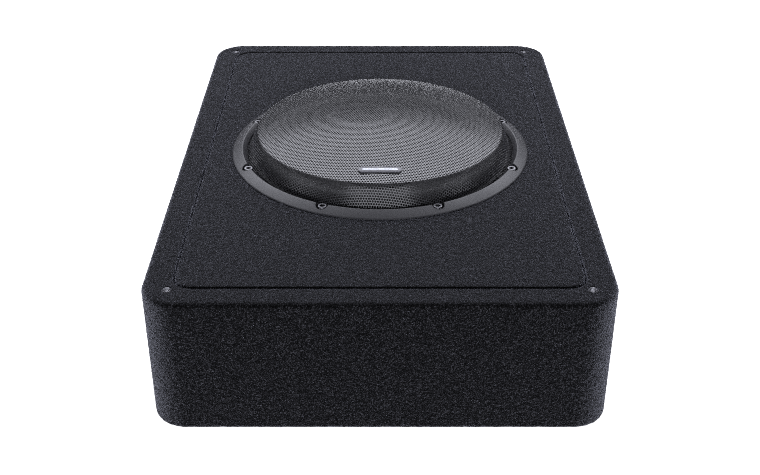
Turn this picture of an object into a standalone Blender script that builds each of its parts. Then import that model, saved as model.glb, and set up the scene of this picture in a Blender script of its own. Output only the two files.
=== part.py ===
"""A car subwoofer with its own amplifier, in a carpet-covered cabinet that lies on its back.

Metres, +Z up. The origin is the middle of the underside, the front is at -Y and the amplifier
looks out of the rear wall, at +Y. The driver faces up.
"""

from math import asin, cos, degrees, pi, radians, sin, sqrt

import bmesh
import bpy
from mathutils import Matrix, Vector

# How far a cutter runs past the faces that it cuts, and a height above the whole cabinet
PAST = 0.010
ABOVE = 0.130

# Cabinet
WIDTH = 0.3565
DEPTH = 0.514
RIM_TOP = 0.117
CORNER_R = 0.028
EDGE_R = 0.0018
GAP = 0.0003
CARPET_T = 0.0025
LIP_T = 0.0022
BOARD_T = 0.016
BOTTOM_T = 0.015
FRAME_T = 0.012
GROOVE = 0.0016
PANEL_R = 0.012

# Distances in from the cabinet's outer faces
WOOD_OUT = CARPET_T + GAP
WOOD_IN = WOOD_OUT + BOARD_T
LIP_OUT = WOOD_IN + GAP
LIP_IN = LIP_OUT + LIP_T
PANEL_OUT = LIP_IN + GROOVE
BAFFLE_OUT = PANEL_OUT + CARPET_T + GAP
POST_IN = 0.034
FRAME_IN = 0.033

# Heights in the cabinet
FLOOR_LOW = CARPET_T + GAP
FLOOR_TOP = FLOOR_LOW + BOTTOM_T
WALL_LOW = FLOOR_TOP + GAP
WALL_TOP = RIM_TOP - CARPET_T - GAP
BAFFLE_LOW = WALL_TOP - BOARD_T
FRAME_TOP = BAFFLE_LOW - GAP
FRAME_LOW = FRAME_TOP - FRAME_T
LIP_LOW = 0.0990
SKIRT_LOW = 0.1015
WRAP_LOW = 0.0006

# Fastening inserts in the rim's corners
INSERT_IN = 0.020
INSERT_R = 0.0042
INSERT_MOUTH_R = 0.0039
INSERT_BORE_R = 0.0034
INSERT_LENGTH = 0.020
INSERT_MOUTH = 0.0017
INSERT_HOLE_R = INSERT_R + GAP
INSERT_HOLE_LOW = 0.085

# Driver, round the Z axis
SEAT_TOP = 0.1102
FLANGE_R = 0.1308
FLANGE_LOW = 0.1123
FLANGE_TOP = 0.1145
CUT_OUT_R = 0.1165
RING_OUT_R = 0.1350
RING_CREST_R = 0.1256
RING_IN_R = 0.1216
RING_STEP_R = 0.1240
RING_EDGE_TOP = 0.1180
RING_CREST_TOP = 0.1224
RING_IN_TOP = 0.1187
CARPET_HOLE_R = 0.1318
SCREW_CIRCLE_R = 0.1255
SCREW_COUNT = 8
NOTCH_R = 0.0056
NOTCH_FLOOR = 0.1168
HEAD_R = 0.0041
HEAD_TOP = 0.1208
HEAD_ROUND = 0.0009
SOCKET_R = 0.0021
SOCKET_DEPTH = 0.0022
SHANK_R = 0.0018
SCREW_TIP = 0.1010
GRILLE_T = 0.0008
GRILLE_FOOT_R = 0.1231
GRILLE_FOOT_TOP = 0.1156
SKIRT_R = 0.1208
GRILLE_TOP = 0.150
DOME_OUT_R = 0.1098
DOME_EDGE_ANGLE = 12.0
DOME_R = DOME_OUT_R / sin(radians(DOME_EDGE_ANGLE))
CONE_R = 0.0935
ROLL_R = 0.0102
ROLL_CENTRE_R = 0.1040
LEDGE_TOP = 0.0798
COIL_R = 0.0267
RING_STEPS = 40
HIDDEN_STEPS = 28
MOTOR_STEPS = 24

# Badge plate on the grille
BADGE_X = 0.0364
BADGE_Y = 0.0074
BADGE_T = 0.0010
BADGE_FROM_AXIS = 0.0932

# Amplifier, in the rear wall. Depths are in from the cabinet's rear face.
RECESS_X = 0.1045
RECESS_LOW = 0.0260
RECESS_TOP = 0.0850
RECESS_IN = 0.0148
WINDOW_X = 0.094
WINDOW_LOW = 0.035
WINDOW_TOP = 0.076
PLATE_T = 0.0022
PLATE_FACE = RECESS_IN - GAP - PLATE_T
FITTING_IN = PLATE_FACE - GAP
BOARD_FACE = 0.0300
POT_FACE = 0.0220
FIN_COUNT = 9
FIN_PITCH = 0.0055
FIN_T = 0.0018
FIN_FIRST_X = -0.018
FIN_IN = 0.0038
KNOB_X = (0.088, 0.066, 0.044)
KNOB_Z = 0.066
KNOB_R = 0.0065
KNOB_LENGTH = 0.008
SWITCH_X = (0.078, 0.054)
SWITCH_Z = 0.042
SWITCH_TRAVEL = 0.004
JACK_X = -0.038
JACK_Z = 0.066
SOCKET_Z = 0.042
POWER_X = -0.078
POWER_Z = 0.063
FUSE_Z = 0.040
PLATE_SCREW_X = 0.099
PLATE_SCREW_Z = (0.0315, 0.0795)
PLATE_HOLE_R = 0.0018

# Finishes: colour, roughness, metallic
CARPET = ((0.045, 0.045, 0.050), 0.95, 0.0)
MDF = ((0.42, 0.29, 0.17), 0.80, 0.0)
SATIN_PLASTIC = ((0.060, 0.061, 0.065), 0.45, 0.0)
BLACK_PLASTIC = ((0.020, 0.020, 0.022), 0.40, 0.0)
BLACK_STEEL = ((0.030, 0.030, 0.032), 0.35, 0.4)
ZINC_STEEL = ((0.62, 0.62, 0.60), 0.30, 1.0)
RUBBER = ((0.018, 0.018, 0.018), 0.70, 0.0)
PAPER = ((0.035, 0.034, 0.033), 0.85, 0.0)
COPPER = ((0.80, 0.36, 0.18), 0.30, 1.0)
SPIDER_CLOTH = ((0.58, 0.44, 0.22), 0.90, 0.0)
FERRITE = ((0.040, 0.040, 0.042), 0.60, 0.0)
FOAM = ((0.060, 0.060, 0.060), 0.95, 0.0)
FILLING = ((0.78, 0.78, 0.74), 0.95, 0.0)
CIRCUIT = ((0.020, 0.120, 0.050), 0.50, 0.0)
FUSE_PLASTIC = ((0.75, 0.22, 0.02), 0.25, 0.0)
ANODISED = ((0.050, 0.050, 0.053), 0.40, 0.8)


def clear_scene():
    for obj in list(bpy.data.objects):
        bpy.data.objects.remove(obj, do_unlink=True)


def new_collection(name):
    made = bpy.data.collections.new(name)
    bpy.context.scene.collection.children.link(made)
    return made


def principled(name, colour, roughness, metallic):
    made = bpy.data.materials.new(name)
    made.use_nodes = True
    shader = made.node_tree.nodes["Principled BSDF"]
    shader.inputs["Base Color"].default_value = (*colour, 1.0)
    shader.inputs["Roughness"].default_value = roughness
    shader.inputs["Metallic"].default_value = metallic
    return made


clear_scene()
PARTS = new_collection("Car_Subwoofer")
CUTTERS = new_collection("Cutters")


# Meshes


def box_mesh(low, high):
    size = [top - bottom for bottom, top in zip(low, high)]
    centre = [(top + bottom) / 2 for bottom, top in zip(low, high)]
    bm = bmesh.new()
    matrix = Matrix.Translation(centre) @ Matrix.Diagonal((*size, 1.0))
    bmesh.ops.create_cube(bm, size=1.0, matrix=matrix)
    return finished(bm, "box")


def cylinder_mesh(radius, low, high, steps):
    """A cylinder along Z between two heights."""
    bm = bmesh.new()
    bmesh.ops.create_cone(
        bm,
        cap_ends=True,
        segments=steps,
        radius1=radius,
        radius2=radius,
        depth=high - low,
        matrix=Matrix.Translation((0, 0, (low + high) / 2)),
    )
    return finished(bm, "cylinder")


def finished(bm, name):
    mesh = bpy.data.meshes.new(name)
    bm.to_mesh(mesh)
    bm.free()
    return mesh


def arc(centre_x, centre_y, radius, start, end, steps):
    """Points along an arc, between two angles in degrees."""
    points = []
    for step in range(steps + 1):
        angle = radians(start + (end - start) * step / steps)
        points.append((centre_x + radius * cos(angle), centre_y + radius * sin(angle)))
    return points


def rounded_rect(half_x, half_y, radius, steps=5):
    corners = ((1, 1), (-1, 1), (-1, -1), (1, -1))
    points = []
    for turn, (side_x, side_y) in enumerate(corners):
        centre_x = side_x * (half_x - radius)
        centre_y = side_y * (half_y - radius)
        points += arc(centre_x, centre_y, radius, 90 * turn, 90 * turn + 90, steps)
    return points


def outer_outline(inset):
    """The cabinet's plan, moved in from its outer faces."""
    return rounded_rect(WIDTH / 2 - inset, DEPTH / 2 - inset, CORNER_R - inset)


def inner_outline(inset):
    """A plan that is parallel to the inset panel's edge."""
    radius = PANEL_R + PANEL_OUT - inset
    return rounded_rect(WIDTH / 2 - inset, DEPTH / 2 - inset, radius)


def prism_mesh(outlines, low, high):
    """A solid of constant plan between two heights. A second outline is a hole in the first."""
    curve = bpy.data.curves.new("plan", "CURVE")
    curve.dimensions = "2D"
    curve.fill_mode = "BOTH"
    curve.extrude = (high - low) / 2
    for outline in outlines:
        spline = curve.splines.new("POLY")
        spline.points.add(len(outline) - 1)
        for point, (x, y) in zip(spline.points, outline):
            point.co = (x, y, 0, 1)
        spline.use_cyclic_u = True
    mesh = mesh_of_curve(curve)
    mesh.transform(Matrix.Translation((0, 0, (low + high) / 2)))
    return mesh


def mesh_of_curve(curve):
    """The curve's evaluated mesh, with its caps welded on and its faces pointing out."""
    obj = bpy.data.objects.new("curve", curve)
    CUTTERS.objects.link(obj)
    graph = bpy.context.evaluated_depsgraph_get()
    mesh = bpy.data.meshes.new_from_object(obj.evaluated_get(graph))
    bpy.data.objects.remove(obj, do_unlink=True)
    bm = bmesh.new()
    bm.from_mesh(mesh)
    bmesh.ops.remove_doubles(bm, verts=bm.verts, dist=0.00001)
    bmesh.ops.dissolve_limit(bm, angle_limit=radians(0.5), verts=bm.verts, edges=bm.edges)
    bmesh.ops.recalc_face_normals(bm, faces=bm.faces)
    bm.to_mesh(mesh)
    bm.free()
    return mesh


def profile_mesh(profile, closed):
    """The line that a Screw modifier turns round Z, in order down its outer side."""
    if closed:
        following = profile[1:] + profile[:1]
        area = sum(a[0] * b[1] - b[0] * a[1] for a, b in zip(profile, following))
        if area > 0:
            profile = profile[::-1]
    bm = bmesh.new()
    points = [bm.verts.new((radius, 0, height)) for radius, height in profile]
    for first, second in zip(points, points[1:]):
        bm.edges.new((first, second))
    if closed:
        bm.edges.new((points[-1], points[0]))
    return finished(bm, "profile")


# Objects


def add_part(name, mesh, finish, location=(0, 0, 0), parent=None):
    """A named part, with a material of its own unless it shares its mesh with an earlier one."""
    obj = bpy.data.objects.new(name, mesh)
    obj.location = location
    obj.parent = parent
    PARTS.objects.link(obj)
    if not mesh.materials:
        mesh.name = name
        mesh.materials.append(principled(name, *finish))
    return obj


def add_axis(name, location):
    """An empty on a joint's axis, which its moving pieces hang from."""
    axis = bpy.data.objects.new(name, None)
    axis.location = location
    axis.empty_display_size = 0.02
    PARTS.objects.link(axis)
    return axis


def turn(obj, steps):
    screw = obj.modifiers.new("turned", "SCREW")
    screw.axis = "Z"
    screw.steps = steps
    screw.render_steps = steps
    screw.use_merge_vertices = True
    screw.merge_threshold = 0.00001


def turned_part(name, profile, finish, steps=RING_STEPS, closed=True, parent=None):
    obj = add_part(name, profile_mesh(profile, closed), finish, parent=parent)
    turn(obj, steps)
    return obj


def combine(obj, mesh, operation, location=(0, 0, 0), rotation=(0, 0, 0)):
    tool = bpy.data.objects.new(f"{obj.name}_tool", mesh)
    tool.location = location
    tool.rotation_euler = rotation
    tool.hide_render = True
    tool.display_type = "WIRE"
    CUTTERS.objects.link(tool)
    boolean = obj.modifiers.new("combined", "BOOLEAN")
    boolean.operation = operation
    boolean.solver = "EXACT"
    boolean.object = tool


def cut(obj, mesh, location=(0, 0, 0), rotation=(0, 0, 0)):
    combine(obj, mesh, "DIFFERENCE", location, rotation)


def join(obj, mesh, location=(0, 0, 0), rotation=(0, 0, 0)):
    combine(obj, mesh, "UNION", location, rotation)


def round_edges(obj, width, segments=2):
    bevel = obj.modifiers.new("rounded", "BEVEL")
    bevel.width = width
    bevel.segments = segments
    bevel.limit_method = "ANGLE"
    bevel.angle_limit = radians(60)


def on_circle(radius, angle, height=0.0):
    return (radius * cos(radians(angle)), radius * sin(radians(angle)), height)


def screw_angles():
    step = 360 / SCREW_COUNT
    return [step / 2 + step * index for index in range(SCREW_COUNT)]


def corner_signs():
    """Each corner's name, with the signs of its X and Y."""
    return (
        ("front_left", -1, -1),
        ("front_right", 1, -1),
        ("rear_left", -1, 1),
        ("rear_right", 1, 1),
    )


def insert_place(side_x, side_y):
    return (side_x * (WIDTH / 2 - INSERT_IN), side_y * (DEPTH / 2 - INSERT_IN), 0)


def rear_y(inset):
    return DEPTH / 2 - inset


# Cabinet


def make_floor():
    add_part("bottom_carpet", prism_mesh([outer_outline(WOOD_OUT)], 0, CARPET_T), CARPET)
    add_part("bottom_panel", prism_mesh([outer_outline(WOOD_OUT)], FLOOR_LOW, FLOOR_TOP), MDF)


def make_walls():
    end_x = WIDTH / 2 - POST_IN - GAP
    end_y = DEPTH / 2 - POST_IN - GAP
    for name, side in (("left_wall", -1), ("right_wall", 1)):
        faces = sorted((side * (WIDTH / 2 - WOOD_OUT), side * (WIDTH / 2 - WOOD_IN)))
        low = (faces[0], -end_y, WALL_LOW)
        high = (faces[1], end_y, WALL_TOP)
        add_part(name, box_mesh(low, high), MDF)
    front = (-DEPTH / 2 + WOOD_OUT, -DEPTH / 2 + WOOD_IN)
    low = (-end_x, front[0], WALL_LOW)
    high = (end_x, front[1], WALL_TOP)
    add_part("front_wall", box_mesh(low, high), MDF)
    make_rear_wall(end_x)


def make_rear_wall(end_x):
    """The rear wall has a stepped opening: the amplifier's plate sits on the step."""
    low = (-end_x, rear_y(WOOD_IN), WALL_LOW)
    high = (end_x, rear_y(WOOD_OUT), WALL_TOP)
    wall = add_part("rear_wall", box_mesh(low, high), MDF)
    step_low = (-RECESS_X, rear_y(RECESS_IN), RECESS_LOW)
    step_high = (RECESS_X, rear_y(-PAST), RECESS_TOP)
    cut(wall, box_mesh(step_low, step_high))
    window_low = (-WINDOW_X, rear_y(WOOD_IN + PAST), WINDOW_LOW)
    window_high = (WINDOW_X, rear_y(0), WINDOW_TOP)
    cut(wall, box_mesh(window_low, window_high))
    for x, z in plate_screw_places():
        hole = cylinder_mesh(PLATE_HOLE_R, RECESS_IN - 0.005, WOOD_IN + PAST, steps=8)
        cut(wall, hole, location=(x, rear_y(0), z), rotation=(pi / 2, 0, 0))


def make_corner_posts():
    """Each post fills a corner and holds an insert. Its upper part is cut back to the wall's thickness."""
    pocket = prism_mesh([inner_outline(WOOD_IN)], FRAME_LOW - GAP, ABOVE)
    low_x = WIDTH / 2 - POST_IN
    low_y = DEPTH / 2 - POST_IN
    radius = CORNER_R - WOOD_OUT
    high_x = WIDTH / 2 - WOOD_OUT
    high_y = DEPTH / 2 - WOOD_OUT
    rounded = arc(high_x - radius, high_y - radius, radius, 0, 90, 5)
    for name, side_x, side_y in corner_signs():
        outline = [(low_x, low_y), (high_x, low_y)] + rounded + [(low_x, high_y)]
        placed = [(side_x * x, side_y * y) for x, y in outline]
        post = add_part(f"corner_post_{name}", prism_mesh([placed], WALL_LOW, WALL_TOP), MDF)
        cut(post, pocket)
        hole = cylinder_mesh(INSERT_HOLE_R, INSERT_HOLE_LOW, ABOVE, steps=16)
        cut(post, hole, location=insert_place(side_x, side_y))


def make_inserts():
    """Each insert has a wider mouth above its thread's bore."""
    top = RIM_TOP - 0.0002
    low = top - INSERT_LENGTH
    profile = [
        (INSERT_MOUTH_R, top),
        (INSERT_R, top),
        (INSERT_R, low),
        (INSERT_BORE_R, low),
        (INSERT_BORE_R, top - INSERT_MOUTH),
        (INSERT_MOUTH_R, top - INSERT_MOUTH),
    ]
    mesh = profile_mesh(profile, closed=True)
    for name, side_x, side_y in corner_signs():
        place = insert_place(side_x, side_y)
        turn(add_part(f"corner_insert_{name}", mesh, ZINC_STEEL, location=place), 16)


def make_baffle():
    frame = [inner_outline(LIP_OUT), rounded_rect(WIDTH / 2 - FRAME_IN, DEPTH / 2 - FRAME_IN, 0.006, 3)]
    add_part("baffle_frame", prism_mesh(frame, FRAME_LOW, FRAME_TOP), MDF)
    board = add_part("baffle_board", prism_mesh([inner_outline(BAFFLE_OUT)], BAFFLE_LOW, WALL_TOP), MDF)
    cut(board, cylinder_mesh(CUT_OUT_R, BAFFLE_LOW - PAST, ABOVE, steps=RING_STEPS))
    cut(board, cylinder_mesh(FLANGE_R + 0.0005, SEAT_TOP, ABOVE, steps=RING_STEPS))
    for angle in screw_angles():
        place = on_circle(SCREW_CIRCLE_R, angle)
        cut(board, cylinder_mesh(SHANK_R + GAP, SCREW_TIP - GAP, ABOVE, steps=8), location=place)


def make_carpets():
    """The wrap covers the walls, folds over the rim and goes down the rim's inner side."""
    wrap = add_part("carpet_wrap", prism_mesh([outer_outline(0)], WRAP_LOW, RIM_TOP), CARPET)
    round_edges(wrap, EDGE_R)
    cut(wrap, prism_mesh([outer_outline(CARPET_T)], -PAST, LIP_LOW))
    cut(wrap, prism_mesh([inner_outline(LIP_IN)], LIP_LOW - PAST, ABOVE))
    slot = [outer_outline(CARPET_T), inner_outline(LIP_OUT)]
    cut(wrap, prism_mesh(slot, LIP_LOW - PAST / 2, RIM_TOP - CARPET_T))
    recess_low = (-RECESS_X - GAP, rear_y(PAST), RECESS_LOW - GAP)
    recess_high = (RECESS_X + GAP, rear_y(-PAST), RECESS_TOP + GAP)
    cut(wrap, box_mesh(recess_low, recess_high))
    for _, side_x, side_y in corner_signs():
        hole = cylinder_mesh(INSERT_HOLE_R, RIM_TOP - PAST, ABOVE, steps=16)
        cut(wrap, hole, location=insert_place(side_x, side_y))

    cover = add_part("baffle_carpet", prism_mesh([inner_outline(PANEL_OUT)], SKIRT_LOW, RIM_TOP), CARPET)
    cut(cover, prism_mesh([inner_outline(PANEL_OUT + CARPET_T)], SKIRT_LOW - PAST, RIM_TOP - CARPET_T))
    cut(cover, cylinder_mesh(CARPET_HOLE_R, SKIRT_LOW, ABOVE, steps=RING_STEPS))


def make_wadding():
    """A block of sound-absorbing filling, in the cabinet's front end."""
    outline = rounded_rect(0.130, 0.047, 0.015, 4)
    wadding = add_part("acoustic_wadding", prism_mesh([outline], 0.019, 0.083), FILLING)
    wadding.location = (0, -0.185, 0)
    round_edges(wadding, 0.008)


# Driver


def make_basket():
    profile = [
        (0.1143, FLANGE_TOP),
        (FLANGE_R, FLANGE_TOP),
        (FLANGE_R, FLANGE_LOW),
        (0.1158, FLANGE_LOW),
        (0.1145, 0.0985),
        (0.0735, 0.0785),
        (0.0655, 0.0785),
        (0.0630, 0.0648),
        (0.0285, 0.0648),
        (0.0285, 0.0661),
        (0.0618, 0.0661),
        (0.0641, LEDGE_TOP),
        (0.0732, LEDGE_TOP),
        (0.1131, 0.0995),
    ]
    basket = turned_part("driver_basket", profile, BLACK_STEEL, MOTOR_STEPS)
    window = [(0.0775, -0.0357), (0.0980, -0.0475), (0.0980, 0.0475), (0.0775, 0.0357)]
    for index in range(6):
        turned = (0, 0, radians(30 + 60 * index))
        cut(basket, prism_mesh([window], 0.070, 0.112), rotation=turned)
    for angle in screw_angles():
        place = on_circle(SCREW_CIRCLE_R, angle)
        cut(basket, cylinder_mesh(SHANK_R + GAP, SEAT_TOP, ABOVE, steps=8), location=place)
    gasket = [(0.1175, 0.1120), (0.1232, 0.1120), (0.1232, 0.1105), (0.1175, 0.1105)]
    turned_part("basket_gasket", gasket, FOAM, HIDDEN_STEPS)


def make_motor():
    plate = [(0.0275, 0.0645), (0.0500, 0.0645), (0.0500, 0.0585), (0.0275, 0.0585)]
    turned_part("top_plate", plate, ZINC_STEEL, MOTOR_STEPS)
    magnet = [(0.0300, 0.0582), (0.0600, 0.0582), (0.0600, 0.0425), (0.0300, 0.0425)]
    turned_part("ring_magnet", magnet, FERRITE, MOTOR_STEPS)
    yoke = [
        (0.0080, 0.0640),
        (0.0246, 0.0640),
        (0.0246, 0.0422),
        (0.0520, 0.0422),
        (0.0520, 0.0362),
        (0.0080, 0.0362),
    ]
    turned_part("pole_yoke", yoke, ZINC_STEEL, MOTOR_STEPS)


def spider_height(radius, inner, outer):
    """The spider's corrugations: three waves, flat at both lands."""
    share = (radius - inner) / (outer - inner)
    return 0.0012 * sin(share * 6 * pi)


def make_suspension():
    top = [(0.0870, 0.1151), (0.0938, 0.1151)]
    top += arc(ROLL_CENTRE_R, 0.1151, ROLL_R, 180, 0, 6)[1:]
    top += [(0.1148, 0.1158), (0.1175, 0.1158)]
    below = [(0.1175, 0.1148), (0.1140, 0.1148)]
    below += arc(ROLL_CENTRE_R, 0.1148, ROLL_R - 0.0010, 0, 180, 6)
    below += [(0.0942, 0.1141), (0.0870, 0.1141)]
    turned_part("surround", top + below, RUBBER, HIDDEN_STEPS)

    inner, outer = 0.0300, 0.0645
    radii = [inner + (outer - inner) * index / 12 for index in range(13)]
    upper = [(0.0258, 0.0808)]
    upper += [(radius, 0.0808 + spider_height(radius, inner, outer)) for radius in radii]
    upper += [(0.0718, 0.0808)]
    lower = [(radius, height - 0.0007) for radius, height in upper[::-1]]
    turned_part("spider", upper + lower, SPIDER_CLOTH, MOTOR_STEPS)


def make_moving_parts():
    axis = add_axis("cone_axis", (0, 0, 0))
    cone = [
        (0.0258, 0.0895),
        (0.0860, 0.1138),
        (CONE_R, 0.1138),
        (CONE_R, 0.1128),
        (0.0864, 0.1128),
        (0.0258, 0.0884),
    ]
    turned_part("cone", cone, PAPER, HIDDEN_STEPS, parent=axis)

    rim_r, rise, thick = 0.0380, 0.0088, 0.0009
    radius = (rim_r**2 + rise**2) / (2 * rise)
    half = degrees(asin(rim_r / radius))
    centre = 0.0953 - radius + rise
    outside = arc(0, centre, radius, 90, 90 - half, 4)
    inside = arc(0, centre, radius - thick, 90 - half, 90, 4)
    cap = [(0, outside[0][1])] + outside[1:] + inside[:-1] + [(0, inside[-1][1])]
    turned_part("dust_cap", cap, PAPER, MOTOR_STEPS, closed=False, parent=axis)

    former = [(0.0250, 0.0880), (0.0254, 0.0880), (0.0254, 0.0515), (0.0250, 0.0515)]
    turned_part("coil_former", former, ANODISED, MOTOR_STEPS, parent=axis)
    coil = [(0.0257, 0.0710), (COIL_R, 0.0710), (COIL_R, 0.0520), (0.0257, 0.0520)]
    turned_part("voice_coil", coil, COPPER, MOTOR_STEPS, parent=axis)


def make_connections():
    """The terminal block in the basket's rear window, and the leads that join it to the cone."""
    block = box_mesh((-0.011, 0.0780, 0.0790), (0.011, 0.0900, 0.0870))
    add_part("terminal_block", block, BLACK_PLASTIC)
    for name, side in (("tinsel_lead_left", -1), ("tinsel_lead_right", 1)):
        route = [(0.005, 0.0840, 0.0880), (0.006, 0.0800, 0.0900), (0.008, 0.0730, 0.0895)]
        route += [(0.010, 0.0640, 0.0880), (0.011, 0.0550, 0.0880), (0.011, 0.0480, 0.0895)]
        route += [(0.010, 0.0420, 0.0915)]
        make_wire(name, [(side * x, y, z) for x, y, z in route], 0.0007, COPPER)
    route = [
        (-0.030, rear_y(0.0325), 0.0500),
        (-0.030, rear_y(0.0450), 0.0480),
        (-0.026, 0.1900, 0.0450),
        (-0.018, 0.1650, 0.0420),
        (-0.010, 0.1400, 0.0460),
        (-0.004, 0.1180, 0.0560),
        (0.000, 0.1020, 0.0690),
        (0.000, 0.0955, 0.0800),
        (0.000, 0.0925, 0.0830),
    ]
    make_wire("speaker_lead", route, 0.0018, RUBBER)


def smooth_route(points, steps):
    """Points along a Catmull-Rom curve through the route's own points."""
    places = [Vector(point) for point in points]
    places = [places[0]] + places + [places[-1]]
    smooth = []
    for a, b, c, d in zip(places, places[1:], places[2:], places[3:]):
        for step in range(steps):
            t = step / steps
            bend = (2 * a - 5 * b + 4 * c - d) * t * t + (3 * b - a - 3 * c + d) * t**3
            smooth.append((2 * b + (c - a) * t + bend) / 2)
    return smooth + [places[-1]]


def make_wire(name, points, radius, finish):
    curve = bpy.data.curves.new(name, "CURVE")
    curve.dimensions = "3D"
    curve.bevel_depth = radius
    curve.bevel_resolution = 1
    curve.use_fill_caps = True
    spline = curve.splines.new("POLY")
    route = smooth_route(points, 3)
    spline.points.add(len(route) - 1)
    for point, place in zip(spline.points, route):
        point.co = (*place, 1)
    curve.materials.append(principled(name, *finish))
    wire = bpy.data.objects.new(name, curve)
    PARTS.objects.link(wire)


def make_trim_ring():
    """A ring that rises inwards to a crest, falls to the grille's skirt and holds the grille's foot down."""
    under = GRILLE_FOOT_TOP + GAP
    flange_out = CARPET_HOLE_R - 2 * GAP
    profile = [
        (RING_IN_R, RING_IN_TOP),
        (RING_CREST_R - 0.0006, RING_CREST_TOP - 0.0003),
        (RING_CREST_R, RING_CREST_TOP),
        (RING_OUT_R - 0.0006, RING_EDGE_TOP + 0.0003),
        (RING_OUT_R, RING_EDGE_TOP - 0.0002),
        (RING_OUT_R, RIM_TOP + GAP),
        (flange_out, RIM_TOP + GAP),
        (flange_out, FLANGE_TOP + GAP),
        (RING_STEP_R, FLANGE_TOP + GAP),
        (RING_STEP_R, under),
        (RING_IN_R, under),
    ]
    ring = turned_part("trim_ring", profile, SATIN_PLASTIC)
    arch = arc(SCREW_CIRCLE_R, 0, NOTCH_R, -90, 90, 6)
    opening = [(CUT_OUT_R, NOTCH_R), (CUT_OUT_R, -NOTCH_R)]
    notch = prism_mesh([arch + opening], NOTCH_FLOOR, ABOVE)
    for angle in screw_angles():
        cut(ring, notch, rotation=(0, 0, radians(angle)))
        hole = cylinder_mesh(SHANK_R + GAP, SEAT_TOP, ABOVE, steps=8)
        cut(ring, hole, location=on_circle(SCREW_CIRCLE_R, angle))


def make_driver_screws():
    head_low = NOTCH_FLOOR + GAP
    profile = [
        (0, HEAD_TOP - SOCKET_DEPTH),
        (SOCKET_R, HEAD_TOP - SOCKET_DEPTH),
        (SOCKET_R, HEAD_TOP),
        (HEAD_R - HEAD_ROUND, HEAD_TOP),
        (HEAD_R, HEAD_TOP - HEAD_ROUND),
        (HEAD_R, head_low),
        (SHANK_R, head_low),
        (SHANK_R, SCREW_TIP + SHANK_R),
        (0, SCREW_TIP),
    ]
    mesh = profile_mesh(profile, closed=False)
    for index, angle in enumerate(screw_angles(), start=1):
        place = on_circle(SCREW_CIRCLE_R, angle)
        turn(add_part(f"driver_screw_{index}", mesh, ZINC_STEEL, location=place), 12)


def dome_height(radius):
    """Height of the grille's outer surface over its middle part."""
    return GRILLE_TOP - DOME_R + sqrt(DOME_R**2 - radius**2)


def make_grille():
    """A pressed cap: a low dome, a rounded shoulder, a sloping skirt and a foot held under the ring."""
    foot_low = GRILLE_FOOT_TOP - GRILLE_T
    knee = GRILLE_FOOT_TOP + 0.0014
    radii = [DOME_OUT_R * share for share in (0, 0.36, 0.70, 1)]
    dome = [(radius, dome_height(radius)) for radius in radii]
    outside = dome + [(0.1121, 0.1372), (0.1132, 0.1352), (SKIRT_R, knee)]
    outside += [(SKIRT_R, GRILLE_FOOT_TOP), (GRILLE_FOOT_R, GRILLE_FOOT_TOP)]
    inside = [(radius, height - GRILLE_T) for radius, height in dome]
    inside += [(0.1115, 0.1366), (0.1124, 0.1349), (SKIRT_R - GRILLE_T, knee)]
    inside += [(SKIRT_R - GRILLE_T, foot_low), (GRILLE_FOOT_R, foot_low)]
    turned_part("grille", outside + inside[::-1], BLACK_STEEL, closed=False)


def make_badge():
    """A slim plate with pointed ends, lying on the front of the dome."""
    half_x, half_y = BADGE_X / 2, BADGE_Y / 2
    outline = [
        (half_x - half_y * 0.6, -half_y),
        (half_x, -half_y * 0.3),
        (half_x, half_y * 0.3),
        (half_x - half_y * 0.6, half_y),
    ]
    outline += [(-x, y) for x, y in outline[::-1]]
    badge = add_part("badge_plate", prism_mesh([outline], 0, BADGE_T), BLACK_PLASTIC)
    tilt = asin(BADGE_FROM_AXIS / DOME_R)
    lift = 2 * GAP
    surface = Vector((0, -BADGE_FROM_AXIS, dome_height(BADGE_FROM_AXIS)))
    badge.location = surface + Vector((0, -sin(tilt), cos(tilt))) * lift
    badge.rotation_euler = (tilt, 0, 0)


# Amplifier


def plate_screw_places():
    return [(side * PLATE_SCREW_X, z) for side in (-1, 1) for z in PLATE_SCREW_Z]


def make_amp_plate():
    """An extruded plate, whose cooling fins run up its whole height, with holes for its controls."""
    edge = RECESS_X - GAP * 1.5
    comb = [(-edge, rear_y(RECESS_IN - GAP)), (-edge, rear_y(PLATE_FACE))]
    for index in range(FIN_COUNT):
        low = FIN_FIRST_X + FIN_PITCH * index - FIN_T / 2
        high = low + FIN_T
        comb += [(low, rear_y(PLATE_FACE)), (low, rear_y(FIN_IN))]
        comb += [(high, rear_y(FIN_IN)), (high, rear_y(PLATE_FACE))]
    comb += [(edge, rear_y(PLATE_FACE)), (edge, rear_y(RECESS_IN - GAP))]
    plate = add_part("amp_plate", prism_mesh([comb], RECESS_LOW + GAP, RECESS_TOP - GAP), ANODISED)
    across = (pi / 2, 0, 0)
    for x in KNOB_X:
        hole = cylinder_mesh(0.0034, 0.005, 0.025, steps=12)
        cut(plate, hole, location=(x, rear_y(0), KNOB_Z), rotation=across)
    for x, z in plate_screw_places():
        hole = cylinder_mesh(PLATE_HOLE_R, 0.005, 0.025, steps=8)
        cut(plate, hole, location=(x, rear_y(0), z), rotation=across)
    for x in SWITCH_X:
        low = (x - 0.0021, rear_y(0.025), SWITCH_Z - 0.0016)
        high = (x + 0.0021 + SWITCH_TRAVEL, rear_y(0.005), SWITCH_Z + 0.0016)
        cut(plate, box_mesh(low, high))


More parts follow.
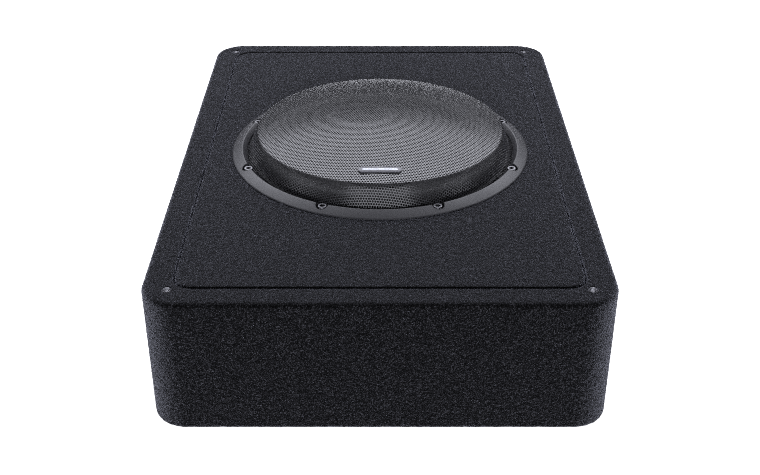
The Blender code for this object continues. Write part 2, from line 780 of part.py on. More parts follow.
def make_amp_screws():
    head_low = -PLATE_FACE + GAP
    head_top = head_low + 0.0020
    profile = [
        (0, head_top - 0.0010),
        (0.0010, head_top - 0.0010),
        (0.0010, head_top),
        (0.0022, head_top),
        (0.0030, head_top - 0.0008),
        (0.0030, head_low),
        (0.0015, head_low),
        (0.0015, -0.0180),
        (0, -0.0185),
    ]
    mesh = profile_mesh(profile, closed=False)
    for index, (x, z) in enumerate(plate_screw_places(), start=1):
        screw = add_part(f"amp_screw_{index}", mesh, BLACK_STEEL, location=(x, rear_y(0), z))
        screw.rotation_euler = (-pi / 2, 0, 0)
        turn(screw, 12)


def make_knobs():
    """Each knob's origin is on its own axis, and its shaft goes through the plate."""
    near = -PLATE_FACE + 0.0004
    far = near + KNOB_LENGTH
    profile = [
        (0, far),
        (KNOB_R - 0.0010, far),
        (KNOB_R - 0.0004, far - 0.0006),
        (KNOB_R, near),
        (0.0030, near),
        (0.0030, -POT_FACE + GAP),
        (0, -POT_FACE + GAP),
    ]
    mesh = profile_mesh(profile, closed=False)
    for name, x in zip(("gain_knob", "lowpass_knob", "bass_knob"), KNOB_X):
        knob = add_part(name, mesh, BLACK_PLASTIC, location=(x, rear_y(0), KNOB_Z))
        knob.rotation_euler = (-pi / 2, 0, 0)
        turn(knob, 20)


def make_switches():
    """Each slider's cap is outside the plate, and its stem goes through the plate's slot."""
    cap_low = (-0.0026, -PLATE_FACE + GAP, -0.0022)
    cap_high = (0.0026, -PLATE_FACE + 0.0040, 0.0022)
    stem_low = (-0.0017, -POT_FACE + GAP, -0.0012)
    stem_high = (0.0017, -PLATE_FACE + 0.0010, 0.0012)
    for name, x in zip(("phase_switch", "input_switch"), SWITCH_X):
        slider = add_part(name, box_mesh(cap_low, cap_high), BLACK_PLASTIC)
        slider.location = (x, rear_y(0), SWITCH_Z)
        join(slider, box_mesh(stem_low, stem_high), location=slider.location)


def make_sockets():
    """The line input jacks, the high-level input socket and the fuse."""
    low = (JACK_X - 0.013, rear_y(FITTING_IN), JACK_Z - 0.0065)
    high = (JACK_X + 0.013, rear_y(FITTING_IN - 0.003), JACK_Z + 0.0065)
    jacks = add_part("line_input_jacks", box_mesh(low, high), BLACK_PLASTIC)
    for side in (-1, 1):
        place = (JACK_X + side * 0.0065, rear_y(0), JACK_Z)
        shell = cylinder_mesh(0.0042, -FITTING_IN + 0.002, -FITTING_IN + 0.010, steps=16)
        join(jacks, shell, location=place, rotation=(-pi / 2, 0, 0))
        bore = cylinder_mesh(0.0016, -FITTING_IN + 0.003, 0.005, steps=10)
        cut(jacks, bore, location=place, rotation=(-pi / 2, 0, 0))

    low = (JACK_X - 0.011, rear_y(FITTING_IN), SOCKET_Z - 0.005)
    high = (JACK_X + 0.011, rear_y(FITTING_IN - 0.0085), SOCKET_Z + 0.005)
    socket = add_part("high_level_socket", box_mesh(low, high), BLACK_PLASTIC)
    low = (JACK_X - 0.0092, rear_y(FITTING_IN - 0.0015), SOCKET_Z - 0.0032)
    high = (JACK_X + 0.0092, rear_y(-0.01), SOCKET_Z + 0.0032)
    cut(socket, box_mesh(low, high))

    low = (POWER_X - 0.010, rear_y(FITTING_IN), FUSE_Z - 0.0035)
    high = (POWER_X + 0.010, rear_y(FITTING_IN - 0.007), FUSE_Z + 0.0035)
    fuse = add_part("blade_fuse", box_mesh(low, high), FUSE_PLASTIC)
    round_edges(fuse, 0.0006, 1)


def make_power_terminal():
    """A terminal strip: a base, barriers that part its three ways, and a screw in each way."""
    half_x, half_z, barrier, way = 0.015, 0.008, 0.0018, 0.0076
    low = (POWER_X - half_x, rear_y(FITTING_IN), POWER_Z - half_z)
    high = (POWER_X + half_x, rear_y(FITTING_IN - 0.003), POWER_Z + half_z)
    strip = add_part("power_terminal", box_mesh(low, high), BLACK_PLASTIC)
    for index in range(4):
        start = POWER_X - half_x + index * (barrier + way)
        low = (start, rear_y(FITTING_IN - 0.002), POWER_Z - half_z)
        high = (start + barrier, rear_y(FITTING_IN - 0.0085), POWER_Z + half_z)
        join(strip, box_mesh(low, high))
    for index in range(3):
        middle = POWER_X - half_x + barrier + way / 2 + index * (barrier + way)
        head = cylinder_mesh(0.0028, -FITTING_IN + 0.002, -FITTING_IN + 0.0046, steps=12)
        join(strip, head, location=(middle, rear_y(0), POWER_Z), rotation=(-pi / 2, 0, 0))


def make_amp_board():
    """The circuit board with its controls' bodies, standoffs, transformer and capacitors."""
    low = (-0.088, rear_y(BOARD_FACE + 0.0016), 0.037)
    high = (0.088, rear_y(BOARD_FACE), 0.074)
    board = add_part("amp_board", box_mesh(low, high), CIRCUIT)
    sunk = BOARD_FACE + 0.0008
    bodies = [(x, KNOB_Z, 0.005) for x in KNOB_X]
    bodies += [(x + SWITCH_TRAVEL / 2, SWITCH_Z, 0.004) for x in SWITCH_X]
    for x, z, half in bodies:
        body = box_mesh((x - half, rear_y(sunk), z - half), (x + half, rear_y(POT_FACE), z + half))
        join(board, body)
    for x, z in ((-0.082, 0.0545), (0.0, 0.0395), (0.0, 0.0715), (0.077, 0.0545)):
        post = cylinder_mesh(0.0022, -sunk, -RECESS_IN, steps=8)
        join(board, post, location=(x, rear_y(0), z), rotation=(-pi / 2, 0, 0))
    low = (0.035, rear_y(sunk + 0.024), 0.041)
    high = (0.067, rear_y(sunk), 0.070)
    join(board, box_mesh(low, high))
    for x in (-0.074, -0.056, 0.010):
        can = cylinder_mesh(0.0075, -sunk - 0.022, -sunk, steps=16)
        join(board, can, location=(x, rear_y(0), 0.0555), rotation=(-pi / 2, 0, 0))


def main():
    make_floor()
    make_walls()
    make_corner_posts()
    make_inserts()
    make_baffle()
    make_carpets()
    make_wadding()
    make_basket()
    make_motor()
    make_suspension()
    make_moving_parts()
    make_connections()
    make_trim_ring()
    make_driver_screws()
    make_grille()
    make_badge()
    make_amp_plate()
    make_amp_screws()
    make_knobs()
    make_switches()
    make_sockets()
    make_power_terminal()
    make_amp_board()
    for obj in PARTS.objects:
        if obj.type == "MESH":
            obj.data.shade_smooth()
            obj.data.set_sharp_from_angle(angle=radians(30))


main()
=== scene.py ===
from math import asin, cos, hypot, pi, radians, sin, sqrt

import bmesh
import bpy
import numpy as np
from mathutils import Matrix, Vector, noise


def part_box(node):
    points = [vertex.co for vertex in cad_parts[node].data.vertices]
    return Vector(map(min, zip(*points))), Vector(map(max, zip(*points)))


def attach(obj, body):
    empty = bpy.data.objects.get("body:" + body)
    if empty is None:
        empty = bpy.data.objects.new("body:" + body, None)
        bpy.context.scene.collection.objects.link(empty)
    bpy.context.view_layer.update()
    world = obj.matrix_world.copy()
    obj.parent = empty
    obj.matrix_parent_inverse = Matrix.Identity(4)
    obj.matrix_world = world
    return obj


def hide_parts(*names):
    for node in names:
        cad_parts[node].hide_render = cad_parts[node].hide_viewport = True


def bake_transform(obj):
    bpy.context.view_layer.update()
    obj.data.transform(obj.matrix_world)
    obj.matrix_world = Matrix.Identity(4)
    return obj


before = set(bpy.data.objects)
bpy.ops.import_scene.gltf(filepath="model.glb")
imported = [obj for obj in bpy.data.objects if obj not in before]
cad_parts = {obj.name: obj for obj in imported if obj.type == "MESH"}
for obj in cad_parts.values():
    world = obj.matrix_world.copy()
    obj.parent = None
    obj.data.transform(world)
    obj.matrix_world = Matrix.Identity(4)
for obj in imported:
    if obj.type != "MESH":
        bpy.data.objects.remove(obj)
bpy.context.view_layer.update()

SCENE = bpy.context.scene
MERGE = 1e-7

# Places that come from the frame
WRAP_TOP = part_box("carpet_wrap")[1]
HALF_X, HALF_Y, RIM_TOP = WRAP_TOP
PANEL_LOW, PANEL_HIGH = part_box("baffle_carpet")
FLOOR_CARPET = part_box("bottom_carpet")[1]
RING_OUT_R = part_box("trim_ring")[1].x
GRILLE_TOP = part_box("grille")[1].z

# Cabinet
CORNER_R = 0.028
EDGE_R = 0.0034
CARPET_T = 0.0025
PANEL_OUT = HALF_X - PANEL_HIGH.x + 0.0005
PANEL_R = 0.015
GROOVE = 0.0018
LIP_IN = PANEL_OUT - GROOVE
LIP_T = 0.0022
LIP_LOW = 0.0990
LIP_EDGE = 0.0012
PANEL_EDGE = 0.0008
WRAP_FOOT = 0.0006
CARPET_CELL = 0.002
PILE = 0.00030
PILE_SIZE = 0.0024
INSERT_IN = 0.020
INSERT_HOLE_R = 0.0043
TOOL_FOOT, TOOL_TOP = 0.10, 0.13

# Driver
RING_IN_R = 0.1216
CARPET_HOLE_R = 0.1318
SCREW_CIRCLE_R = 0.1255
SCREW_ANGLES = [22.5 + 45 * index for index in range(8)]
NOTCH_R = 0.0056
NOTCH_FLOOR = 0.1168
FOLD_R = 0.1098
DOME_R = FOLD_R / sin(radians(12))
SHEET_T = 0.0004
HOLE_PITCH = 0.00234
HOLE_ROW = 0.00218
HOLE_TURN = radians(-4)
HOLE_R = 0.00112
SPLIT_R = 0.0985
DOME_STEPS = 600
FOLD_STEPS = 60

# Amplifier, whose axes look out of the rear wall, at +Y
KNOBS = ("gain_knob", "lowpass_knob", "bass_knob")
SWITCHES = ("phase_switch", "input_switch")
SWITCH_TRAVEL = 0.004
PLATE_LOW, PLATE_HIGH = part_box("amp_plate")
PLATE_T = 0.0022
PLATE_FACE = PLATE_LOW.y + PLATE_T
FIN_COUNT = 9
FIN_PITCH = 0.0055
FIN_T = 0.0018
FIN_FIRST_X = -0.018
FITTING_BASE = 0.0030
REAR = Matrix.Rotation(-pi / 2, 4, "X")


# Meshes


def add_object(name, data):
    obj = bpy.data.objects.new(name, data)
    SCENE.collection.objects.link(obj)
    return obj


def from_bmesh(bm, name):
    """A new object from a BMesh, which is freed."""
    mesh = bpy.data.meshes.new(name)
    bm.to_mesh(mesh)
    bm.free()
    return add_object(name, mesh)


def add_mesh(name, points, faces, smooth=True):
    mesh = bpy.data.meshes.new(name)
    mesh.from_pydata([tuple(point) for point in points], [], faces)
    mesh.validate()
    if smooth:
        mesh.shade_smooth()
    return add_object(name, mesh)


def outward(obj, merge=0.0):
    """Joins doubled points and turns every face to point out."""
    bm = bmesh.new()
    bm.from_mesh(obj.data)
    if merge:
        bmesh.ops.remove_doubles(bm, verts=bm.verts, dist=merge)
    bmesh.ops.recalc_face_normals(bm, faces=bm.faces)
    bm.to_mesh(obj.data)
    bm.free()
    return obj


def apply_modifiers(obj):
    graph = bpy.context.evaluated_depsgraph_get()
    mesh = bpy.data.meshes.new_from_object(obj.evaluated_get(graph))
    obj.modifiers.clear()
    obj.data = mesh
    return obj


def carve(obj, tools, operation="DIFFERENCE"):
    """Cuts the tools out of obj, or joins them to it, and removes them."""
    for tool in tools:
        boolean = obj.modifiers.new("carve", "BOOLEAN")
        boolean.operation = operation
        boolean.solver = "EXACT"
        boolean.object = tool
    apply_modifiers(obj)
    for tool in tools:
        bpy.data.objects.remove(tool)
    return obj


def sharpen(obj, angle=30):
    obj.data.shade_smooth()
    obj.data.set_sharp_from_angle(angle=radians(angle))
    return obj


def chamfer(obj, width, segments=2, angle=30):
    bevel = obj.modifiers.new("chamfer", "BEVEL")
    bevel.width = width
    bevel.segments = segments
    bevel.limit_method = "ANGLE"
    bevel.angle_limit = radians(angle)
    bevel.harden_normals = False
    return apply_modifiers(obj)


def block(name, low, high):
    """A box between two corners."""
    bm = bmesh.new()
    size = [b - a for a, b in zip(low, high)]
    centre = [(a + b) / 2 for a, b in zip(low, high)]
    matrix = Matrix.Translation(centre) @ Matrix.Diagonal((*size, 1))
    bmesh.ops.create_cube(bm, size=1, matrix=matrix)
    return from_bmesh(bm, name)


def slab(name, place, half_x, half_z, low_y, high_y):
    """A box about a place's X and Z, between two depths."""
    low = (place.x - half_x, low_y, place.z - half_z)
    return block(name, low, (place.x + half_x, high_y, place.z + half_z))


def rows_of(points, count):
    return [range(start, start + count) for start in range(0, len(points), count)]


def band(first, second, closed=True):
    """The faces between two rows of points, each a closed loop or an open line."""
    pairs = list(zip(first, second))
    after = pairs[1:] + pairs[:1] if closed else pairs[1:]
    return [(a, c, d, b) for (a, b), (c, d) in zip(pairs, after)]


def rows_mesh(name, points, count, closed=True, merge=0.0):
    """Joins rows of points, count to a row, and the last row to the first."""
    rows = rows_of(points, count)
    faces = []
    for here, there in zip(rows, rows[1:] + rows[:1]):
        faces += band(here, there, closed)
    return outward(add_mesh(name, points, faces), merge)


def soft_block(name, low, high, width, segments=2):
    return chamfer(block(name, low, high), width, segments)


def prism(name, outline, low, high):
    """A solid of constant plan between two heights, from a plan that runs anticlockwise."""
    points = [(x, y, z) for z in (low, high) for x, y in outline]
    under, over = rows_of(points, len(outline))
    faces = [tuple(under)[::-1], tuple(over)] + band(under, over)
    return add_mesh(name, points, faces, smooth=False)


def arc(centre_x, centre_y, radius, start, end, steps):
    """Points along an arc, with its ends in degrees."""
    angles = [radians(start + (end - start) * step / steps) for step in range(steps + 1)]
    return [(centre_x + radius * cos(angle), centre_y + radius * sin(angle)) for angle in angles]


def disc(name, radius, low, high, centre=(0, 0), steps=32):
    return prism(name, arc(*centre, radius, 0, 360, steps)[:-1], low, high)


def rounded(profile, radius, steps=3):
    """The closed profile with each of its corners rounded, as far as its sides leave room."""
    made = []
    count = len(profile)
    for index, corner in enumerate(profile):
        here = Vector(corner)
        before = Vector(profile[index - 1]) - here
        after = Vector(profile[(index + 1) % count]) - here
        reach = min(radius, before.length * 0.45, after.length * 0.45)
        first = here + before.normalized() * reach
        last = here + after.normalized() * reach
        for step in range(steps + 1):
            t = step / steps
            made.append(tuple(first * (1 - t) ** 2 + here * 2 * t * (1 - t) + last * t**2))
    return made


def lathe(name, profile, steps, closed=True):
    """Turns a (radius, height) profile round Z. One that isn't closed ends on the axis."""
    angles = [2 * pi * step / steps for step in range(steps)]
    points = [(r * cos(a), r * sin(a), z) for a in angles for r, z in profile]
    return rows_mesh(name, points, len(profile), closed, MERGE)


def tube(name, route, radius, sides=8):
    """A round wire along a smooth curve through the route's points."""
    path = [Vector(point) for point in route]
    path = [path[0]] + path + [path[-1]]
    smooth = []
    for a, b, c, d in zip(path, path[1:], path[2:], path[3:]):
        for step in range(8):
            t = step / 8
            bend = (2 * a - 5 * b + 4 * c - d) * t * t + (3 * b - a - 3 * c + d) * t**3
            smooth.append((2 * b + (c - a) * t + bend) / 2)
    smooth.append(path[-1])
    points, faces = [], []
    for index, here in enumerate(smooth):
        ahead = smooth[min(index + 1, len(smooth) - 1)] - smooth[max(index - 1, 0)]
        facing = ahead.to_track_quat("Z", "X")
        for side in range(sides):
            angle = 2 * pi * side / sides
            points.append(here + facing @ Vector((radius * cos(angle), radius * sin(angle), 0)))
    rows = rows_of(points, sides)
    for first, second in zip(rows, rows[1:]):
        faces += band(first, second)
    faces += [tuple(rows[0])[::-1], tuple(rows[-1])]
    return outward(add_mesh(name, points, faces))


def merged(name, pieces):
    """One object that holds the closed shells of several."""
    bm = bmesh.new()
    for piece in pieces:
        piece.data.transform(piece.matrix_basis)
        bm.from_mesh(piece.data)
        bpy.data.objects.remove(piece)
    return from_bmesh(bm, name)


def from_rear(obj, x, z):
    """Turns a piece whose own Z is up to look out of the rear wall. Its Z is 0 in the rear face."""
    obj.data.transform(Matrix.Translation((x, HALF_Y, z)) @ REAR)
    return obj


def placed(name):
    """A CAD node's low and high corners, and its middle."""
    low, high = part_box(name)
    return low, high, (low + high) / 2


def middle(name):
    return placed(name)[2]


def finish(obj, material, nodes=(), body="root", sharp=35):
    """A piece's material, slot and CAD nodes, and the body it rides, unless body is None."""
    if sharp:
        sharpen(obj, sharp)
    obj.data.materials.append(material)
    if nodes:
        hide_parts(*nodes)
    if body is None:
        return obj
    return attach(obj, body)


def place_copies(source, material, sharp, places):
    """One mesh at several places, each given as a piece's name, its CAD node and a matrix."""
    sharpen(source, sharp)
    mesh = source.data
    bpy.data.objects.remove(source)
    mesh.materials.append(material)
    for piece, cad_node, matrix in places:
        obj = add_object(piece, mesh)
        obj.matrix_world = matrix
        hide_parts(cad_node)
        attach(obj, "root")


def turn_z(degrees):
    return Matrix.Rotation(radians(degrees), 4, "Z")


def on_circle(radius, angle):
    return Vector((radius * cos(radians(angle)), radius * sin(radians(angle)), 0))


# Materials

COOL = (0.99, 0.98, 1.12)


def node(tree, kind, inputs=None, **settings):
    made = tree.nodes.new(kind)
    for key, value in settings.items():
        setattr(made, key, value)
    for key, value in (inputs or {}).items():
        if isinstance(value, bpy.types.NodeSocket):
            tree.links.new(value, made.inputs[key])
        else:
            made.inputs[key].default_value = value
    return made


def new_material(name, **constants):
    """A material with its constants on the Principled shader's own sockets."""
    material = bpy.data.materials.new(name)
    material.use_nodes = True
    shader = material.node_tree.nodes["Principled BSDF"]
    for key, value in constants.items():
        shader.inputs[key.replace("_", " ")].default_value = value
    return material, material.node_tree, shader


def ramp(tree, factor, stops):
    made = node(tree, "ShaderNodeValToRGB", {"Fac": factor})
    elements = made.color_ramp.elements
    while len(elements) < len(stops):
        elements.new(0.5)
    for element, (place, colour) in zip(elements, stops):
        element.position = place
        element.color = (*colour, 1)
    return made.outputs["Color"]


def shade(tree, shader, socket, factor, low, high):
    """Drives one of the shader's sockets between two colours by a noise."""
    tree.links.new(ramp(tree, factor, [(0.3, low), (0.7, high)]), shader.inputs[socket])


def grey(value, tint=(1.0, 1.0, 1.0)):
    return tuple(value * part for part in tint)


def object_place(tree, scale=(1, 1, 1)):
    place = node(tree, "ShaderNodeTexCoord").outputs["Object"]
    return node(tree, "ShaderNodeMapping", {"Vector": place, "Scale": scale}).outputs["Vector"]


def noise_at(tree, scale, detail=2.0, roughness=0.5, stretch=(1, 1, 1)):
    """Noise fixed to the object, with its size in cycles per metre."""
    inputs = {"Vector": object_place(tree, stretch), "Scale": scale}
    inputs.update({"Detail": detail, "Roughness": roughness})
    return node(tree, "ShaderNodeTexNoise", inputs).outputs["Fac"]


def calculate(tree, operation, *values):
    return node(tree, "ShaderNodeMath", dict(enumerate(values)), operation=operation).outputs[0]


def mix(tree, factor, first, second, blend="MIX"):
    made = node(tree, "ShaderNodeMix", data_type="RGBA", blend_type=blend)
    for index, value in ((0, factor), (6, first), (7, second)):
        socket = made.inputs[index]
        if isinstance(value, bpy.types.NodeSocket):
            tree.links.new(value, socket)
        else:
            socket.default_value = value if index == 0 else (*value, 1)
    return made.outputs[2]


def bump(tree, shader, height, distance, strength=1.0, under=None):
    inputs = {"Height": height, "Distance": distance, "Strength": strength}
    if under:
        inputs["Normal"] = under
    made = node(tree, "ShaderNodeBump", inputs).outputs["Normal"]
    tree.links.new(made, shader.inputs["Normal"])
    return made


def waves(tree, axis, pitch):
    """Fine ridges along an axis, a pitch apart."""
    inputs = {"Vector": object_place(tree), "Scale": 2 * pi / (20 * pitch)}
    inputs.update({"Distortion": 0.6, "Detail": 1.0})
    return node(tree, "ShaderNodeTexWave", inputs, bands_direction=axis).outputs["Fac"]


def carpet_material(name, tone, sheen, fleck):
    """Needle-punch pile: dark fibres with paler flecks, in clumps of a few millimetres."""
    material, tree, shader = new_material(
        name,
        Specular_IOR_Level=0.08,
        Sheen_Weight=sheen,
        Sheen_Roughness=0.24,
        Sheen_Tint=(0.84, 0.86, 1.0, 1),
    )
    fibres = noise_at(tree, 1050, detail=3, roughness=0.8)
    clumps = noise_at(tree, 300, detail=2, roughness=0.6)
    flecks = noise_at(tree, 960, detail=1, roughness=0.5)
    stops = [(0.42, grey(0.0003, COOL)), (0.53, grey(0.18 * tone, COOL)), (0.64, grey(tone, COOL))]
    pile = ramp(tree, fibres, stops)
    pale = ramp(tree, flecks, [(0.57, grey(0.0)), (0.70, grey(fleck, COOL))])
    base = mix(tree, 1.0, pile, pale, "ADD")
    patches = ramp(tree, clumps, [(0.30, grey(0.72)), (0.70, grey(1.28))])
    tree.links.new(mix(tree, 1.0, base, patches, "MULTIPLY"), shader.inputs["Base Color"])
    worn = ramp(tree, fibres, [(0.42, grey(1.0)), (0.62, grey(0.44))])
    tree.links.new(worn, shader.inputs["Roughness"])
    first = bump(tree, shader, clumps, 0.0010, 0.7)
    bump(tree, shader, fibres, 0.0010, 1.0, under=first)
    return material


def satin_plastic_material(name, base, roughness):
    """Moulded plastic with a fine spark-eroded texture."""
    material, tree, shader = new_material(name, Roughness=roughness)
    grain = noise_at(tree, 3200, detail=2, roughness=0.6)
    drift = noise_at(tree, 35, detail=2)
    shade(tree, shader, "Base Color", drift, grey(base * 0.93, COOL), grey(base * 1.07, COOL))
    shade(tree, shader, "Roughness", drift, grey(roughness - 0.03), grey(roughness + 0.04))
    bump(tree, shader, grain, 0.00005, 0.35)
    return material


def tinted_plastic_material(name, colour, roughness):
    """Coloured moulded plastic, slightly cloudy."""
    material, tree, shader = new_material(name)
    drift = noise_at(tree, 260, detail=3)
    shade(tree, shader, "Base Color", drift, tuple(part * 0.82 for part in colour), colour)
    shade(tree, shader, "Roughness", drift, grey(roughness - 0.04), grey(roughness + 0.05))
    bump(tree, shader, drift, 0.00006, 0.3)
    return material


def painted_steel_material(name, base, roughness):
    """Powder-coated sheet: a slight orange-peel under a semi-gloss black."""
    material, tree, shader = new_material(name, Metallic=0.0, Coat_Weight=0.80, Coat_Roughness=0.22)
    peel = noise_at(tree, 1500, detail=2, roughness=0.5)
    drift = noise_at(tree, 60, detail=3)
    shade(tree, shader, "Base Color", drift, grey(base * 0.85, COOL), grey(base * 1.15, COOL))
    shade(tree, shader, "Roughness", peel, grey(roughness - 0.04), grey(roughness + 0.05))
    bump(tree, shader, peel, 0.00004, 0.4)
    return material


def metal_material(name, colour, roughness, marks=900, stretch=(1, 1, 1)):
    """Bare or plated metal with fine tool marks and a slightly uneven polish."""
    material, tree, shader = new_material(name, Metallic=1.0)
    lines = noise_at(tree, marks, detail=3, roughness=0.65, stretch=stretch)
    stain = noise_at(tree, 120, detail=3)
    shade(tree, shader, "Base Color", stain, tuple(part * 0.80 for part in colour), colour)
    shade(tree, shader, "Roughness", lines, grey(roughness - 0.07), grey(roughness + 0.10))
    bump(tree, shader, lines, 0.00003, 0.4)
    return material


def fibreboard_material():
    """Raw fibreboard, stained black where the amplifier's recess is cut into it."""
    material, tree, shader = new_material("fibreboard", Roughness=0.85)
    chips = noise_at(tree, 700, detail=4, roughness=0.7)
    drift = noise_at(tree, 14, detail=2)
    stops = [(0.3, (0.26, 0.17, 0.095)), (0.55, (0.40, 0.27, 0.16)), (0.75, (0.52, 0.38, 0.24))]
    tone = ramp(tree, drift, [(0.3, grey(0.88)), (0.7, grey(1.08))])
    raw = mix(tree, 1.0, ramp(tree, chips, stops), tone, "MULTIPLY")
    parts = node(tree, "ShaderNodeSeparateXYZ", {"Vector": object_place(tree)}).outputs
    width = calculate(tree, "ABSOLUTE", parts["X"])
    inside = calculate(tree, "LESS_THAN", width, PLATE_HIGH.x + 0.0010)
    for axis, limit, kind in (
        ("Z", PLATE_LOW.z - 0.0008, "GREATER_THAN"),
        ("Z", PLATE_HIGH.z + 0.0008, "LESS_THAN"),
        ("Y", PLATE_LOW.y - 0.0030, "GREATER_THAN"),
    ):
        inside = calculate(tree, "MULTIPLY", inside, calculate(tree, kind, parts[axis], limit))
    stained = ramp(tree, chips, [(0.3, grey(0.012)), (0.7, grey(0.028))])
    tree.links.new(mix(tree, inside, raw, stained), shader.inputs["Base Color"])
    bump(tree, shader, chips, 0.0002, 0.5)
    return material


def grained_material(name, dark, pale, scale, depth, roughness):
    """A matt, grainy solid such as pulp, ferrite, rubber, foam or filling fibre."""
    material, tree, shader = new_material(name, Roughness=roughness)
    grain = noise_at(tree, scale, detail=4, roughness=0.7)
    lumps = noise_at(tree, scale / 7, detail=2)
    tree.links.new(ramp(tree, grain, [(0.32, dark), (0.68, pale)]), shader.inputs["Base Color"])
    first = bump(tree, shader, lumps, depth, 0.5)
    bump(tree, shader, grain, depth / 2, 0.8, under=first)
    return material


def cloth_material():
    """Plain-weave cloth stiffened with resin."""
    material, tree, shader = new_material("resin_cloth", Roughness=0.7)
    across = waves(tree, "X", 0.0009)
    along = waves(tree, "Y", 0.0009)
    weave = mix(tree, 0.5, across, along)
    colour = ramp(tree, weave, [(0.25, (0.30, 0.21, 0.09)), (0.75, (0.62, 0.47, 0.24))])
    tree.links.new(colour, shader.inputs["Base Color"])
    bump(tree, shader, weave, 0.0002, 0.8)
    return material


def winding_material():
    """Round wire wound tight: a ridge for each turn."""
    material, tree, shader = new_material("copper_winding", Metallic=1.0, Roughness=0.3)
    turns = waves(tree, "Z", 0.0004)
    stain = noise_at(tree, 300, detail=3)
    shade(tree, shader, "Base Color", stain, (0.55, 0.22, 0.10), (0.80, 0.38, 0.20))
    bump(tree, shader, turns, 0.0002, 1.0)
    return material


def circuit_material():
    """Solder mask over copper tracks."""
    material, tree, shader = new_material("circuit_board", Roughness=0.4)
    inputs = {"Vector": object_place(tree), "Scale": 320, "Mortar Size": 0.12}
    tracks = node(tree, "ShaderNodeTexBrick", inputs).outputs["Fac"]
    colour = ramp(tree, tracks, [(0.4, (0.008, 0.10, 0.035)), (0.6, (0.02, 0.20, 0.07))])
    tree.links.new(colour, shader.inputs["Base Color"])
    bump(tree, shader, tracks, 0.00005, 0.5)
    return material


# Carpets


def corner_mapped(u, v, half_x, half_y, radius):
    """Where the point (u, v) of a square grid from -1 to 1 goes on a plan with rounded corners."""
    x, y = u * half_x, v * half_y
    over_x = (abs(x) - (half_x - radius)) / radius
    over_y = (abs(y) - (half_y - radius)) / radius
    if over_x > 0 and over_y > 0:
        disc_x = over_x * sqrt(1 - over_y * over_y / 2)
        disc_y = over_y * sqrt(1 - over_x * over_x / 2)
        x = (1 if x > 0 else -1) * (half_x - radius + disc_x * radius)
        y = (1 if y > 0 else -1) * (half_y - radius + disc_y * radius)
    return x, y


def border(columns, rows):
    """Grid places round a square grid's edge, anticlockwise."""
    edge = [(column, 0) for column in range(columns)]
    edge += [(columns, row) for row in range(rows)]
    edge += [(column, rows) for column in range(columns, 0, -1)]
    edge += [(0, row) for row in range(rows, 0, -1)]
    return edge


def loop_points(columns, rows, inset, height, radius):
    points = []
    for column, row in border(columns, rows):
        u, v = 2 * column / columns - 1, 2 * row / rows - 1
        x, y = corner_mapped(u, v, HALF_X - inset, HALF_Y - inset, radius)
        points.append((x, y, height))
    return points


def spread(low, high, step):
    """Values from low to high, about a step apart."""
    count = max(1, round(abs(high - low) / step))
    return [low + (high - low) * index / count for index in range(count + 1)]


def raise_pile(obj, keep, seed):
    """Moves points along their normals by a clumpy noise, each by the share that keep gives."""
    offset = Vector((seed, seed * 2.0, seed * 3.0))
    normals = [vertex.normal.copy() for vertex in obj.data.vertices]
    for vertex, normal in zip(obj.data.vertices, normals):
        share = keep(vertex)
        if share:
            place = vertex.co / PILE_SIZE + offset
            height = noise.noise(place) + 0.5 * noise.noise(place * 2.3)
            vertex.co += normal * (PILE * height * share)
    obj.data.update()


def outer_radius(inset):
    return CORNER_R - inset


def inner_radius(inset):
    return PANEL_R + PANEL_OUT - inset


def wrap_section():
    """The wrap's cross-section as (inset, height, corner radius): the side that shows, then the
    hidden side. It also gives how many of its points have a raised pile."""
    foot_r = EDGE_R * 0.8
    shown = [
        (foot_r * (1 - sin(t)), WRAP_FOOT + foot_r * (1 - cos(t))) for t in (0.0, 0.5, 1.0, pi / 2)
    ]
    shown += [(0.0, z) for z in spread(WRAP_FOOT + EDGE_R, RIM_TOP - EDGE_R, CARPET_CELL)]
    for t in (0.3, 0.6, 0.9, 1.2):
        shown.append((EDGE_R * (1 - cos(t)), RIM_TOP - EDGE_R * (1 - sin(t))))
    section = [(inset, z, outer_radius(inset)) for inset, z in shown]
    flat = spread(EDGE_R, LIP_IN - LIP_EDGE, CARPET_CELL)
    for inset in flat:
        share = (inset - flat[0]) / (flat[-1] - flat[0])
        radius = outer_radius(inset) * (1 - share) + inner_radius(inset) * share
        section.append((inset, RIM_TOP, radius))
    raised = len(section)
    for t in (0.3, 0.6, 0.9, 1.2, pi / 2):
        inset = LIP_IN - LIP_EDGE * (1 - sin(t))
        section.append((inset, RIM_TOP - LIP_EDGE * (1 - cos(t)), inner_radius(inset)))
    wall = spread(RIM_TOP - 0.0050, LIP_LOW, CARPET_CELL)
    section += [(LIP_IN, z, inner_radius(LIP_IN)) for z in wall]
    lip_out, under = LIP_IN - LIP_T, RIM_TOP - CARPET_T
    section += [(lip_out, z, inner_radius(lip_out)) for z in (LIP_LOW, under)]
    section += [(CARPET_T, z, outer_radius(CARPET_T)) for z in (under, WRAP_FOOT)]
    return section, raised


def corner_places(inset):
    return [(x * (HALF_X - inset), y * (HALF_Y - inset)) for x in (-1, 1) for y in (-1, 1)]


